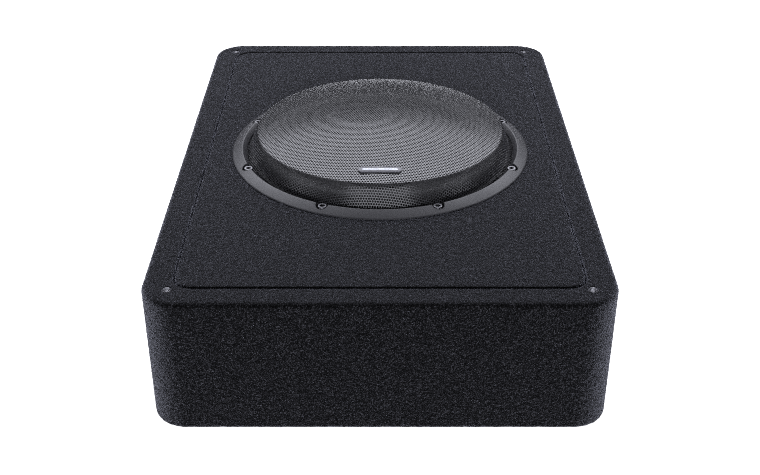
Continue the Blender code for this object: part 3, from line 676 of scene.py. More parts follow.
def make_wrap(carpet):
    """The carpet over the walls and the rim, with its openings and a seam in its left side."""
    section, raised = wrap_section()
    columns = round(2 * HALF_X / CARPET_CELL)
    rows = round(2 * HALF_Y / CARPET_CELL)
    points = []
    for inset, z, radius in section:
        points += loop_points(columns, rows, inset, z, radius)
    count = 2 * (columns + rows)
    wrap = rows_mesh("wrap_carpet", points, count)
    raise_pile(wrap, lambda vertex: 1.0 if vertex.index < raised * count else 0.0, seed=3.0)
    gap, slit, outside = 0.0006, 0.0004, -HALF_X - 0.002
    recess_low = (PLATE_LOW.x - gap, HALF_Y - 0.006, PLATE_LOW.z - gap)
    recess_high = (PLATE_HIGH.x + gap, HALF_Y + 0.004, PLATE_HIGH.z + gap)
    seam_high = (-HALF_X + 0.0012, slit, RIM_TOP + 0.002)
    rim_seam_low = (outside, -slit, RIM_TOP - 0.0012)
    tools = [
        block("recess_tool", recess_low, recess_high),
        block("seam_tool", (outside, -slit, 0.02), seam_high),
        block("rim_seam_tool", rim_seam_low, (-HALF_X + 0.03, slit, TOOL_TOP)),
    ]
    for place in corner_places(INSERT_IN):
        tools.append(disc("insert_tool", INSERT_HOLE_R, TOOL_FOOT, TOOL_TOP, place, 24))
    finish(carve(wrap, tools), carpet, ["carpet_wrap"], sharp=60)


def add_loop(points, faces, ring, fresh):
    """Joins a loop of new points to the last loop, and gives the new loop's places."""
    added = range(len(points), len(points) + len(fresh))
    points += fresh
    faces += band(ring, added)
    return added


def panel_mesh(inset, top, low, edge, cell, up=True):
    """A carpet-covered face on a fine grid, with a rounded edge and a skirt, open at the back."""
    columns = round(2 * (HALF_X - inset) / cell)
    rows = round(2 * (HALF_Y - inset) / cell)
    family = inner_radius if up else outer_radius
    sign = 1 if up else -1
    start = inset + edge
    points = []
    for row in range(rows + 1):
        for column in range(columns + 1):
            u, v = 2 * column / columns - 1, 2 * row / rows - 1
            x, y = corner_mapped(u, v, HALF_X - start, HALF_Y - start, family(start))
            points.append((x, y, top))
    faces = []
    for row in range(rows):
        for column in range(columns):
            a = row * (columns + 1) + column
            faces.append((a, a + 1, a + columns + 2, a + columns + 1))
    ring = [row * (columns + 1) + column for column, row in border(columns, rows)]
    section = []
    for t in (0.5, 1.0, pi / 2):
        section.append((inset + edge * (1 - sin(t)), top - sign * edge * (1 - cos(t))))
    section += [(inset, z) for z in spread(top - sign * edge, low, cell)[1:]]
    for at, z in section:
        ring = add_loop(points, faces, ring, loop_points(columns, rows, at, z, family(at)))
    return points, faces, ring, (columns, rows)


def make_panel(carpet):
    """The panel's carpet: a sheet turned down round its edges, with the driver's hole."""
    points, faces, ring, (columns, rows) = panel_mesh(
        PANEL_OUT, RIM_TOP, PANEL_LOW.z, PANEL_EDGE, CARPET_CELL
    )
    back = PANEL_OUT + CARPET_T
    for z in (PANEL_LOW.z, RIM_TOP - CARPET_T):
        fresh = loop_points(columns, rows, back, z, inner_radius(back))
        ring = add_loop(points, faces, ring, fresh)
    faces.append(tuple(ring))
    panel = outward(add_mesh("panel_carpet", points, faces))
    flat = (columns + 1) * (rows + 1)
    raise_pile(panel, lambda vertex: 1.0 if vertex.index < flat else 0.0, seed=11.0)
    carve(panel, [disc("hole_tool", CARPET_HOLE_R, TOOL_FOOT, TOOL_TOP, steps=160)])
    finish(panel, carpet, ["baffle_carpet"], sharp=60)


def make_base(carpet):
    """The underside's carpet, which the cabinet rests on."""
    inset = HALF_X - FLOOR_CARPET.x
    points, faces, ring, _ = panel_mesh(inset, 0.0, CARPET_T, PANEL_EDGE, 0.004, up=False)
    faces.append(tuple(ring))
    base = outward(add_mesh("base_carpet", points, faces))
    raise_pile(base, lambda vertex: 0.5 if vertex.co.z < CARPET_T / 2 else 0.0, seed=19.0)
    finish(base, carpet, ["bottom_carpet"], sharp=60)


# Driver's outside


def make_ring(plastic):
    """The trim ring: it rises to a crest, falls to the grille, and has a notch for each screw."""
    under, flange = 0.1159, 0.1148
    rim_r, well_r, seat = 0.1312, 0.1240, RIM_TOP + 0.0003
    profile = [
        (RING_IN_R, 0.1186),
        (0.1251, 0.1222),
        (0.1258, 0.1223),
        (RING_OUT_R - 0.0008, 0.1183),
        (RING_OUT_R, 0.1177),
        (RING_OUT_R, seat),
        (rim_r, seat),
        (rim_r, flange),
        (well_r, flange),
        (well_r, under),
        (RING_IN_R, under),
    ]
    ring = lathe("trim_bezel", rounded(profile, 0.0004, 3), 240)
    arch = arc(SCREW_CIRCLE_R, 0, NOTCH_R, -90, 90, 16) + [(0.115, NOTCH_R), (0.115, -NOTCH_R)]
    tools = []
    for angle in SCREW_ANGLES:
        notch = prism("notch_tool", arch, NOTCH_FLOOR, TOOL_TOP)
        notch.rotation_euler.z = radians(angle)
        place = on_circle(SCREW_CIRCLE_R, angle)
        tools += [notch, disc("screw_tool", 0.0021, 0.11, TOOL_TOP, (place.x, place.y), 16)]
    carve(ring, tools)
    finish(ring, plastic, ["trim_ring"])


def make_screws(steel):
    """Socket screws: a round head with a broken edge, and a six-sided socket."""
    top, under, radius, edge = 0.1208, NOTCH_FLOOR + 0.0003, 0.0041, 0.0010
    profile = [(0, top - 0.0003), (0.0022, top - 0.0003), (0.0024, top - 0.0001)]
    profile += arc(radius - edge, top - edge, edge, 90, 0, 5)
    profile += [(radius, under), (0.0018, under), (0.0018, 0.1030), (0, 0.1012)]
    head = lathe("socket_screw_mesh", profile, 48, closed=False)
    carve(head, [disc("socket_tool", 0.0022, top - 0.0022, top + 0.002, steps=6)])
    places = []
    for index, angle in enumerate(SCREW_ANGLES, start=1):
        matrix = Matrix.Translation(on_circle(SCREW_CIRCLE_R, angle)) @ turn_z(17 * index)
        places.append((f"socket_screw_{index}", f"driver_screw_{index}", matrix))
    place_copies(head, steel, 35, places)


def make_inserts(steel):
    """Threaded inserts: a thin collar below the pile, and a bore with turned grooves."""
    top, bore_r, pitch, depth = RIM_TOP - 0.0007, 0.0034, 0.0010, 0.00035
    bore = []
    for index in range(16):
        z = top - 0.0023 - index * pitch
        bore += [(bore_r + depth, z), (bore_r, z - pitch / 2)]
    profile = [(0.0039, top), (0.0041, top - 0.0008), (0.0042, top - 0.0200)]
    profile += [(0.0036, top - 0.0192)] + bore[::-1] + [(0.0037, top - 0.0016)]
    places = []
    for y, end in ((-1, "front"), (1, "rear")):
        for x, side in ((-1, "left"), (1, "right")):
            shift = (x * (HALF_X - INSERT_IN), y * (HALF_Y - INSERT_IN), 0)
            names = (f"threaded_insert_{end}_{side}", f"corner_insert_{end}_{side}")
            places.append((*names, Matrix.Translation(shift)))
    place_copies(lathe("threaded_insert_mesh", profile, 48), steel, 50, places)


def dome_height(radius):
    return GRILLE_TOP - DOME_R + sqrt(DOME_R**2 - radius**2)


def sheet_curve():
    """The grille's outer surface from centre to foot: lengths of sheet, radii and heights."""
    skirt_top, skirt_foot = Vector((0.1132, 0.1352)), Vector((0.1208, 0.1166))
    line = [(r, dome_height(r)) for r in np.linspace(0, FOLD_R, DOME_STEPS)]
    before, corner = Vector(line[-1]), Vector((0.1120, 0.1380))
    for step in range(1, FOLD_STEPS + 1):
        t = step / FOLD_STEPS
        bend = before * (1 - t) ** 2 + corner * 2 * t * (1 - t) + skirt_top * t**2
        line.append(tuple(bend))
    line += [tuple(skirt_top.lerp(skirt_foot, step / 12)) for step in range(1, 13)]
    lengths = [0.0]
    for (r0, z0), (r1, z1) in zip(line, line[1:]):
        lengths.append(lengths[-1] + hypot(r1 - r0, z1 - z0))
    return np.array(lengths), np.array([r for r, _ in line]), np.array([z for _, z in line])


def turned(x, y):
    return (x * cos(HOLE_TURN) - y * sin(HOLE_TURN), x * sin(HOLE_TURN) + y * cos(HOLE_TURN))


def hole_lattice(high):
    """Centres of a staggered pattern, turned by HOLE_TURN, as far as a distance from the middle."""
    reach = int(high / HOLE_ROW) + 2
    cells = {}
    for row in range(-reach, reach + 1):
        for column in range(-2 * reach, 2 * reach + 1):
            x = HOLE_PITCH * (column + (row % 2) / 2)
            y = HOLE_ROW * row
            if hypot(x, y) < high:
                cells[(column, row)] = turned(x, y)
    return cells


def next_cell(cell, side):
    """The neighbour of a cell, anticlockwise from the one at +X."""
    column, row = cell
    odd = row % 2
    steps = ((1, 0), (odd, 1), (odd - 1, 1), (-1, 0), (odd - 1, -1), (odd, -1))
    return (column + steps[side][0], row + steps[side][1])


def hex_corner(centre, corner, radius):
    angle = radians(30 + 60 * corner) + HOLE_TURN
    return (centre[0] + radius * cos(angle), centre[1] + radius * sin(angle))


def perforated_faces(cells):
    """The flat sheet between six-sided holes: its points, its faces, and the edges of its holes."""
    flat, faces, first_point = [], [], {}
    for cell, centre in cells.items():
        first_point[cell] = len(flat)
        flat += [hex_corner(centre, corner, HOLE_R) for corner in range(6)]
    for cell, a in first_point.items():
        for side in (0, 1, 2):
            b = first_point.get(next_cell(cell, side))
            if b is not None:
                faces.append((a + (side + 5) % 6, b + (side + 3) % 6, b + (side + 2) % 6, a + side))
        for side in (0, 1):
            b = first_point.get(next_cell(cell, side))
            c = first_point.get(next_cell(cell, side + 1))
            if b is not None and c is not None:
                faces.append((a + side, b + (side + 2) % 6, c + (side + 4) % 6))
    sides = set()
    for face in faces:
        for first, second in zip(face, face[1:] + face[:1]):
            if (second, first) in sides:
                sides.remove((second, first))
            else:
                sides.add((first, second))
    return np.array(flat), faces, sides


def pressed(flat):
    """The flat points put on the grille's outer surface, and again one thickness further in."""
    lengths, radii, heights = sheet_curve()
    slope_r, slope_z = np.gradient(radii, lengths), np.gradient(heights, lengths)
    length = np.minimum(np.hypot(flat[:, 0], flat[:, 1]), lengths[-1])
    turn = np.arctan2(flat[:, 1], flat[:, 0])
    radius = np.interp(length, lengths, radii)
    height = np.interp(length, lengths, heights)
    along_r = np.interp(length, lengths, slope_r)
    along_z = np.interp(length, lengths, slope_z)
    inward = SHEET_T / np.hypot(along_r, along_z)
    below_r, below_z = radius + along_z * inward, height - along_r * inward
    top = np.stack([radius * np.cos(turn), radius * np.sin(turn), height], axis=1)
    back = np.stack([below_r * np.cos(turn), below_r * np.sin(turn), below_z], axis=1)
    return top, back


def make_grille(steel):
    """Perforated steel, pressed to a low dome and a steep skirt that share an edge, and its foot."""
    reach = sheet_curve()[0][-1] + HOLE_PITCH / 2
    flat, faces, sides = perforated_faces(hole_lattice(reach))
    top, back = pressed(flat)
    count = len(flat)
    points = np.concatenate([top, back])
    kinds = {"grille_dome": [], "grille_skirt": []}
    for face in faces:
        distance = np.hypot(*flat[list(face)].mean(axis=0))
        kind = kinds["grille_dome" if distance < SPLIT_R else "grille_skirt"]
        kind.append(face)
        kind.append(tuple(count + corner for corner in face[::-1]))
        for first, second in zip(face, face[1:] + face[:1]):
            if (first, second) in sides:
                kind.append((second, first, count + first, count + second))
    for name, kept in kinds.items():
        used = sorted({corner for face in kept for corner in face})
        place = {corner: index for index, corner in enumerate(used)}
        renumbered = [tuple(place[corner] for corner in face) for face in kept]
        sheet = add_mesh(name, points[used], renumbered, smooth=False)
        finish(sheet, steel, ["grille"], sharp=0)
    inner_r, outer_r, flange_z = 0.1199, 0.1229, 0.1149
    foot = [(inner_r, 0.1168), (0.1207, 0.1168), (0.1209, 0.1157), (outer_r, 0.1156)]
    foot += [(outer_r, flange_z), (inner_r, flange_z)]
    finish(lathe("grille_foot", rounded(foot, 0.0003, 2), 160), steel, ["grille"])


def make_badge(gloss, silver):
    """A slim plate with pointed ends and a plain inlaid bar, on the front of the dome."""
    half_x, half_y, thick = 0.0182, 0.0037, 0.0008
    from_axis, sunk = 0.0932, 0.0003
    outline = [
        (half_x - half_y * 0.6, -half_y),
        (half_x, -half_y * 0.3),
        (half_x, half_y * 0.3),
        (half_x - half_y * 0.6, half_y),
    ]
    outline += [(-x, y) for x, y in outline[::-1]]
    tilt = asin(from_axis / DOME_R)
    up = Vector((0, -sin(tilt), cos(tilt)))
    place = Matrix.Translation(Vector((0, -from_axis, dome_height(from_axis))) + up * 0.0003)
    place = place @ Matrix.Rotation(tilt, 4, "X")
    plate = chamfer(prism("badge", outline, 0, thick), 0.00015)
    bar_x, bar_y = 0.0148, 0.0011
    bar = rounded([(-bar_x, -bar_y), (bar_x, -bar_y), (bar_x, bar_y), (-bar_x, bar_y)], 0.0008, 5)
    bar = chamfer(prism("badge_bar", bar, thick - sunk, thick + 0.0001), 0.00006)
    for piece, material in ((plate, gloss), (bar, silver)):
        outward(piece)
        piece.data.transform(place)
        finish(piece, material, ["badge_plate"], sharp=40)


# Driver's inside


def ring_blend(obj):
    """Bakes the piece's transform into its mesh, with its points set to their radii along X for the
    bake and then put back where they were.
    """
    kept = [vertex.co.copy() for vertex in obj.data.vertices]
    for vertex in obj.data.vertices:
        vertex.co = (hypot(vertex.co.x, vertex.co.y), 0, 0)
    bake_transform(obj)
    for vertex, place in zip(obj.data.vertices, kept):
        vertex.co = place


def make_surround(rubber):
    """A half-roll of rubber between the basket's rim and the cone."""
    centre, radius, over, under = 0.1040, 0.0102, 0.1151, 0.1149
    top = [(0.0870, over), (0.0936, over)] + arc(centre, over, radius, 178, 2, 24)
    top += [(0.1148, 0.1158), (0.1175, 0.1158)]
    below = [(0.1175, under), (0.1140, under)] + arc(centre, under, radius - 0.0010, 2, 178, 24)
    below += [(0.0940, 0.1142), (0.0870, 0.1142)]
    surround = lathe("roll_surround", top + below, 144)
    finish(surround, rubber, ["surround"], body=None, sharp=50)
    ring_blend(surround)


def make_spider(cloth):
    """Corrugated cloth that centres the coil."""
    inner, outer, level, wave, thick = 0.0300, 0.0645, 0.0808, 0.0012, 0.0006
    upper = [(0.0259, level)]
    for r in np.linspace(inner, outer, 73):
        upper.append((r, level + wave * sin((r - inner) / (outer - inner) * 6 * pi)))
    upper += [(0.0718, level)]
    lower = [(r, z - thick) for r, z in upper[::-1]]
    spider = lathe("corrugated_spider", upper + lower, 120)
    finish(spider, cloth, ["spider"], body=None, sharp=60)
    ring_blend(spider)


def make_cone(paper):
    """A pressed-pulp cone with shallow ring-shaped ribs, and its dust cap."""
    (low_r, low_z), (high_r, high_z) = (0.0258, 0.0895), (0.0860, 0.1138)
    rise = (high_z - low_z) / (high_r - low_r)
    outside = []
    for r in np.linspace(low_r, high_r, 49):
        ribbed = 0.044 < r < 0.080
        rib = max(0.0, cos((r - 0.058) / 0.028 * pi * 5)) * 0.00025 if ribbed else 0.0
        outside.append((r, low_z + (r - low_r) * rise - rib))
    outside += [(0.0868, 0.1140), (0.0934, 0.1139)]
    inside = [(r, z - 0.0010) for r, z in outside[::-1]]
    cone = lathe("pulp_cone", outside + inside, 144)
    finish(cone, paper, ["cone"], "cone_assembly", sharp=50)
    rim_r, height, thick = 0.0380, 0.0088, 0.0009
    radius = (rim_r**2 + height**2) / (2 * height)
    centre = 0.0953 - radius + height
    shell = [(r, centre + sqrt(radius**2 - r**2)) for r in np.linspace(0, rim_r, 20)]
    under = [(r, z - thick) for r, z in shell[::-1]]
    cap = lathe("domed_dust_cap", shell + under, 120, closed=False)
    finish(cap, paper, ["dust_cap"], "cone_assembly", sharp=50)


def make_tinsel(braid):
    """The two braided leads between the terminals and the cone."""
    route = [(0.005, 0.0840, 0.0880), (0.006, 0.0800, 0.0900), (0.008, 0.0730, 0.0895)]
    route += [(0.010, 0.0640, 0.0880), (0.011, 0.0550, 0.0880), (0.011, 0.0480, 0.0895)]
    route += [(0.010, 0.0420, 0.0915)]
    for name, side in (("left", -1), ("right", 1)):
        lead = tube(f"braided_lead_{name}", [(side * x, y, z) for x, y, z in route], 0.0007, 10)
        finish(lead, braid, [f"tinsel_lead_{name}"], body=None, sharp=0)
        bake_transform(lead)


def make_wadding(filling):
    """A block of polyester fibre: a crowned pad with pulled-in corners and a lumpy, felted face."""
    low, high, centre = placed("acoustic_wadding")
    half, squareness = (high - low) / 2, 7
    bm = bmesh.new()
    bmesh.ops.create_cube(bm, size=2)
    bmesh.ops.subdivide_edges(bm, edges=bm.edges, cuts=39, use_grid_fill=True)
    for vertex in bm.verts:
        place = vertex.co.copy()
        place /= sum(abs(part) ** squareness for part in place) ** (1 / squareness)
        grown = Vector(part * extent for part, extent in zip(place, half))
        lumps = noise.noise(grown * 38) + 0.5 * noise.noise(grown * 110)
        lumps += 0.25 * noise.noise(grown * 320)
        share = 0.975 - 0.020 * lumps - 0.010 * (abs(place.x) ** 4)
        vertex.co = centre + grown * share
    bmesh.ops.recalc_face_normals(bm, faces=bm.faces)
    wadding = from_bmesh(bm, "fibre_wadding")
    wadding.data.shade_smooth()
    finish(wadding, filling, ["acoustic_wadding"], sharp=0)


# Amplifier


def make_amp_plate(anodised):
    """The extruded plate with its cooling fins, and holes for the controls and the screws."""
    low, high = PLATE_LOW, PLATE_HIGH
    comb = [(low.x, low.y), (low.x, PLATE_FACE)]
    for index in range(FIN_COUNT):
        left = FIN_FIRST_X + FIN_PITCH * index - FIN_T / 2
        right = left + FIN_T
        comb += [(left, PLATE_FACE), (left, high.y), (right, high.y), (right, PLATE_FACE)]
    comb += [(high.x, PLATE_FACE), (high.x, low.y)]
    plate = chamfer(outward(prism("finned_plate", comb, low.z, high.z)), 0.0004)
    holes = [(name, 0.0034) for name in KNOBS]
    holes += [(f"amp_screw_{index}", 0.0018) for index in range(1, 5)]
    tools = []
    for name, radius in holes:
        place = middle(name)
        tools.append(from_rear(disc("rear_hole", radius, -0.03, 0.0, steps=24), place.x, place.z))
    for name in SWITCHES:
        place = middle(name)
        slot_low = (place.x - 0.0021, low.y - 0.002, place.z - 0.0016)
        slot_high = (place.x + 0.0021 + SWITCH_TRAVEL, PLATE_FACE + 0.002, place.z + 0.0016)
        tools.append(block("slot_tool", slot_low, slot_high))
    finish(carve(plate, tools), anodised, ["amp_plate"])


def make_plate_marks(paint):
    """Printed marks: a dial round each knob, and lines beside each switch and fitting."""
    sunk, proud, grow = 0.0001, 0.00006, 0.0022
    low_z, high_z = PLATE_FACE - HALF_Y - sunk, PLATE_FACE - HALF_Y + proud
    marks = []
    for name in KNOBS:
        place = middle(name)
        for step in range(11):
            long = 0.0104 if step in (0, 5, 10) else 0.0098
            mark = block("mark", (-0.0002, 0.0084, low_z), (0.0002, long, high_z))
            mark.data.transform(turn_z(30 + 30 * step))
            marks.append(from_rear(mark, place.x, place.z))
    for name in SWITCHES:
        place = middle(name)
        for x in (-0.0042, SWITCH_TRAVEL + 0.0042):
            mark = block("mark", (x - 0.00025, -0.0018, low_z), (x + 0.00025, 0.0018, high_z))
            marks.append(from_rear(mark, place.x, place.z))
    for name in ("line_input_jacks", "power_terminal", "high_level_socket"):
        low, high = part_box(name)
        for z in (low.z - grow, high.z + grow):
            bar_low = (low.x - grow, PLATE_FACE - sunk, z - 0.00018)
            marks.append(block("mark", bar_low, (high.x + grow, PLATE_FACE + proud, z + 0.00018)))
    finish(merged("plate_marks", marks), paint)


def make_plate_screws(steel):
    """Pan-head screws with a cross recess."""
    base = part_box("amp_screw_1")[1].y - HALF_Y - 0.0020
    profile = [(0, base + 0.0020), (0.0012, base + 0.0020)]
    for t in (0.4, 0.8, 1.2, pi / 2):
        profile.append((0.0012 + 0.0018 * sin(t), base + 0.0006 + 0.0014 * cos(t)))
    profile += [(0.0030, base), (0.0015, base), (0.0015, -0.0180), (0, -0.0185)]
    head = lathe("cross_screw_mesh", profile, 40, closed=False)
    arms = [(0.0018, 0.00035), (0.00035, 0.0018)]
    recess = [block("arm", (-x, -y, base + 0.0009), (x, y, base + 0.003)) for x, y in arms]
    places = []
    for index in range(1, 5):
        cad_node = f"amp_screw_{index}"
        place = middle(cad_node)
        matrix = Matrix.Translation((place.x, HALF_Y, place.z)) @ REAR @ turn_z(23 * index)
        places.append((f"cross_screw_{index}", cad_node, matrix))
    place_copies(carve(head, recess), steel, 35, places)


def fluted(name, profile, flutes, depth, steps):
    """A lathe whose points carry a third value: how much of the grip's flutes they show."""
    points = []
    for step in range(steps):
        angle = 2 * pi * step / steps
        for radius, z, share in profile:
            cut = depth * share * max(0.0, cos(flutes * angle)) ** 2
            points.append(((radius - cut) * cos(angle), (radius - cut) * sin(angle), z))
    return rows_mesh(name, points, len(profile), closed=False, merge=MERGE)


def make_knobs(plastic, paint):
    """Knobs, each on its own body, with a fluted grip, a dished face and a painted pointer."""
    for name in KNOBS:
        low, high, place = placed(name)
        far, deep, radius = high.y - HALF_Y, low.y - HALF_Y, (high.x - low.x) / 2
        near, stem_r = far - 0.0080, 0.0030
        profile = [
            (0, far - 0.0005, 0),
            (radius - 0.0024, far - 0.0005, 0),
            (radius - 0.0018, far, 0),
            (radius - 0.0012, far, 0),
            (radius - 0.0005, far - 0.0004, 1),
            (radius - 0.0003, far - 0.0010, 1),
            (radius - 0.0001, near + 0.0014, 1),
            (radius, near + 0.0008, 0),
            (radius, near, 0),
            (stem_r, near, 0),
            (stem_r, deep, 0),
            (0, deep, 0),
        ]
        knob = from_rear(fluted(f"{name}_grip", profile, 18, 0.0006, 144), place.x, place.z)
        finish(knob, plastic, [name], name, sharp=40)
        pointer_low = (-0.00035, -radius + 0.0021, far - 0.0006)
        pointer = block("pointer", pointer_low, (0.00035, -0.0012, far - 0.00035))
        pointer = from_rear(chamfer(pointer, 0.00008), place.x, place.z)
        pointer.name = f"{name}_pointer"
        finish(pointer, paint, body=name)


def make_switches(plastic):
    """Slide switches: a cap with three ribs, on a stem through the plate's slot."""
    for name in SWITCHES:
        low, high, place = placed(name)
        cap_low = PLATE_FACE + 0.0003
        cap_high = (high.x, high.y - 0.0006, high.z)
        shells = [soft_block("cap", (low.x, cap_low, low.z), cap_high, 0.0003)]
        shells.append(slab("stem", place, 0.0017, 0.0012, low.y, cap_low + 0.0006))
        for x in (-0.0016, 0.0, 0.0016):
            rib_low = (place.x + x - 0.0004, high.y - 0.0009, low.z + 0.0004)
            rib_high = (place.x + x + 0.0004, high.y, high.z - 0.0004)
            shells.append(soft_block("rib", rib_low, rib_high, 0.0002))
        finish(merged(f"{name}_slider", shells), plastic, [name], name)


def make_jacks(plastic, nickel, white, red):
    """Two line-level sockets: turned shells with coloured insulators, on a moulded base."""
    cad_node = ["line_input_jacks"]
    low, high, place = placed(cad_node[0])
    base = soft_block("jack_base", low, (high.x, low.y + FITTING_BASE, high.z), 0.0005, 3)
    finish(base, plastic, cad_node)
    start, end, apart = low.y + FITTING_BASE - HALF_Y, high.y - HALF_Y, 0.0065
    shell = [(0.0036, end - 0.0002), (0.0040, end - 0.0001), (0.0042, end - 0.0006)]
    shell += [(0.0042, start + 0.0018), (0.0048, start + 0.0016), (0.0048, start - 0.0005)]
    shell += [(0.0034, start - 0.0005), (0.0034, end - 0.0006)]
    shells = []
    for side in (-1, 1):
        shells.append(from_rear(lathe("shell", shell, 48), place.x + side * apart, place.z))
    finish(merged("jack_shells", shells), nickel, cad_node)
    ring = [(0.0016, end - 0.0006), (0.0030, end - 0.0005), (0.0033, end - 0.0008)]
    ring += [(0.0033, start), (0.0016, start)]
    for name, side, material in (("left", 1, white), ("right", -1, red)):
        insulator = lathe(f"jack_insulator_{name}", ring, 40)
        from_rear(insulator, place.x + side * apart, place.z)
        finish(insulator, material, cad_node)


def make_input_socket(plastic, nickel):
    """The high-level input: a shrouded socket with two rows of pins and a key."""
    low, high, place = placed("high_level_socket")
    wall, past = 0.0018, high.y + 0.005
    inner_low = (low.x + wall, low.y + 0.0015, low.z + wall)
    key_low = (place.x - 0.0020, low.y + 0.0040, low.z + 0.0010)
    shell = soft_block("socket_shell", low, high, 0.0004)
    tools = [
        block("cavity", inner_low, (high.x - wall, past, high.z - wall)),
        block("key", key_low, (place.x + 0.0020, past, place.z)),
    ]
    finish(carve(shell, tools), plastic, ["high_level_socket"])
    pins = []
    for column in range(-2, 3):
        for side in (-1, 1):
            at = place + Vector((0.0034 * column, 0, side * 0.0014))
            pin = slab("pin", at, 0.0004, 0.0004, low.y + 0.001, low.y + 0.0065)
            pins.append(chamfer(pin, 0.0002, 1))
    finish(merged("socket_pins", pins), nickel, ["high_level_socket"])


def make_fuse(amber, nickel, plastic):
    """A blade fuse in a low holder, with its two test points."""
    low, high, place = placed("blade_fuse")
    holder = soft_block("fuse_holder", low, (high.x, low.y + 0.0028, high.z), 0.0004)
    finish(holder, plastic, ["blade_fuse"])
    waist, head, neck, chin = 0.0012, 0.0004, high.y - 0.0026, high.y - 0.0020
    right = [(waist, low.y + 0.002), (waist, neck), (head, chin), (head, high.y)]
    outline = [(high.x - inset, y) for inset, y in right]
    outline += [(low.x + inset, y) for inset, y in right[::-1]]
    body = chamfer(prism("fuse_body", outline, place.z - 0.0025, place.z + 0.0025), 0.0004)
    finish(outward(body), amber, ["blade_fuse"])
    points = []
    for x in (-0.0052, 0.0052):
        at = place + Vector((x, 0, 0))
        points.append(slab("point", at, 0.0016, 0.0009, high.y - 0.001, high.y + 0.00005))
    finish(merged("fuse_contacts", points), nickel, ["blade_fuse"])


def make_power_terminal(plastic, nickel):
    """A three-way terminal strip: barriers, clamp plates and slotted screws."""
    cad_node = ["power_terminal"]
    low, high, place = placed(cad_node[0])
    barrier, way, face = 0.0018, 0.0076, low.y + FITTING_BASE
    shells = [soft_block("base", low, (high.x, face, high.z), 0.0004)]
    for index in range(4):
        start = low.x + index * (barrier + way)
        wall_low, wall_high = (start, low.y + 0.001, low.z), (start + barrier, high.y, high.z)
        shells.append(soft_block("barrier", wall_low, wall_high, 0.0005))
    finish(merged("terminal_strip", shells), plastic, cad_node)
    plates, screws = [], []
    for index in range(3):
        at = Vector((low.x + barrier + way / 2 + index * (barrier + way), 0, place.z))
        plate = slab("clamp", at, 0.0034, 0.0052, face - 0.0004, face + 0.0007)
        plates.append(chamfer(plate, 0.0003))
        start = face + 0.0006 - HALF_Y
        head = [(0, start + 0.0016), (0.0020, start + 0.0016), (0.0027, start + 0.0009)]
        head += [(0.0028, start), (0, start)]
        screw = lathe("terminal_screw", head, 36, closed=False)
        slot = block("slot", (-0.004, -0.0004, start + 0.0008), (0.004, 0.0004, start + 0.003))
        carve(screw, [slot]).data.transform(turn_z(35 + 40 * index))
        screws.append(from_rear(screw, at.x, at.z))
    finish(merged("terminal_clamps", plates), nickel, cad_node)
    finish(merged("terminal_screws", screws), nickel, cad_node)


def dress(material, *names):
    """Gives CAD nodes that stay in view, or inside, a finish of their own."""
    for name in names:
        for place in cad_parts[name].material_slots:
            place.link = "OBJECT"
            place.material = material


# Studio

# Each light's place, the point it faces, its width and height in metres, and its power in watts
LIGHTS = {
    "back_softbox": ((0, 1.30, 1.40), (0, 0.05, 0.1), 3.0, 1.0, 44),
    "high_softbox": ((0, 0.90, 1.80), (0, 0.05, 0.1), 2.4, 0.9, 19),
    "rear_softbox": ((0, 2.60, 0.95), (0, 0, 0.1), 2.4, 0.7, 1.5),
    "rear_fill": ((0, 2.30, 0.06), (0, 0, 0.06), 2.0, 0.10, 4),
    "front_fill": ((0, -2.30, 0.75), (0, 0, 0.1), 2.2, 0.7, 20),
    "near_softbox": ((0, -1.35, 1.45), (0, 0, 0.1), 1.6, 0.4, 3.5),
    "low_fill": ((0, -2.30, 0.25), (0, 0, 0.06), 2.2, 0.4, 4),
    "left_fill": ((-1.9, -0.9, 0.06), (0, 0, 0.06), 0.8, 0.12, 8),
    "right_fill": ((1.9, -0.9, 0.06), (0, 0, 0.06), 0.8, 0.12, 8),
}
# How bright the world is for every ray that doesn't come from the camera
WORLD_LIGHT = 0.035


def make_camera():
    """A 54 mm lens, level from side to side and looking down at the cabinet's front."""
    camera = add_object("camera", bpy.data.cameras.new("camera"))
    camera.location = (0, -0.9427, RIM_TOP + 0.4652)
    camera.rotation_euler = (radians(90 - 30.787), 0, 0)
    camera.data.lens = 53.98
    camera.data.sensor_width = 36
    camera.data.clip_start = 0.01
    SCENE.camera = camera


def make_floor():
    """A pale studio floor that is clear from below."""
    reach, level = 9, -0.0008
    corners = [(-reach, -reach, level), (reach, -reach, level)]
    corners += [(reach, reach, level), (-reach, reach, level)]
    floor = add_mesh("studio_floor", corners, [(0, 1, 2, 3)], smooth=False)
    material, tree, shader = new_material(
        "floor_paint",
        Roughness=0.9,
        Base_Color=(0.90, 0.90, 0.90, 1),
        Specular_IOR_Level=0.1,
        Emission_Color=(1, 1, 1, 1),
        Emission_Strength=1.0,
    )
    clear = node(tree, "ShaderNodeBsdfTransparent").outputs[0]
    back = node(tree, "ShaderNodeNewGeometry").outputs["Backfacing"]
    both = node(tree, "ShaderNodeMixShader", {0: back, 1: shader.outputs[0], 2: clear}).outputs[0]
    tree.links.new(both, tree.nodes["Material Output"].inputs["Surface"])
    floor.data.materials.append(material)
    floor.visible_glossy = False


def add_light(name, place, target, width, height, power):
    """A rectangular area light that faces the target and that the camera doesn't see."""
    light = bpy.data.lights.new(name, "AREA")
    light.shape = "RECTANGLE"
    light.size, light.size_y = width, height
    light.energy = power
    light.color = (0.96, 0.975, 1.07)
    obj = add_object(name, light)
    obj.visible_camera = False
    obj.location = place
    obj.rotation_euler = (Vector(target) - Vector(place)).to_track_quat("-Z", "Y").to_euler()


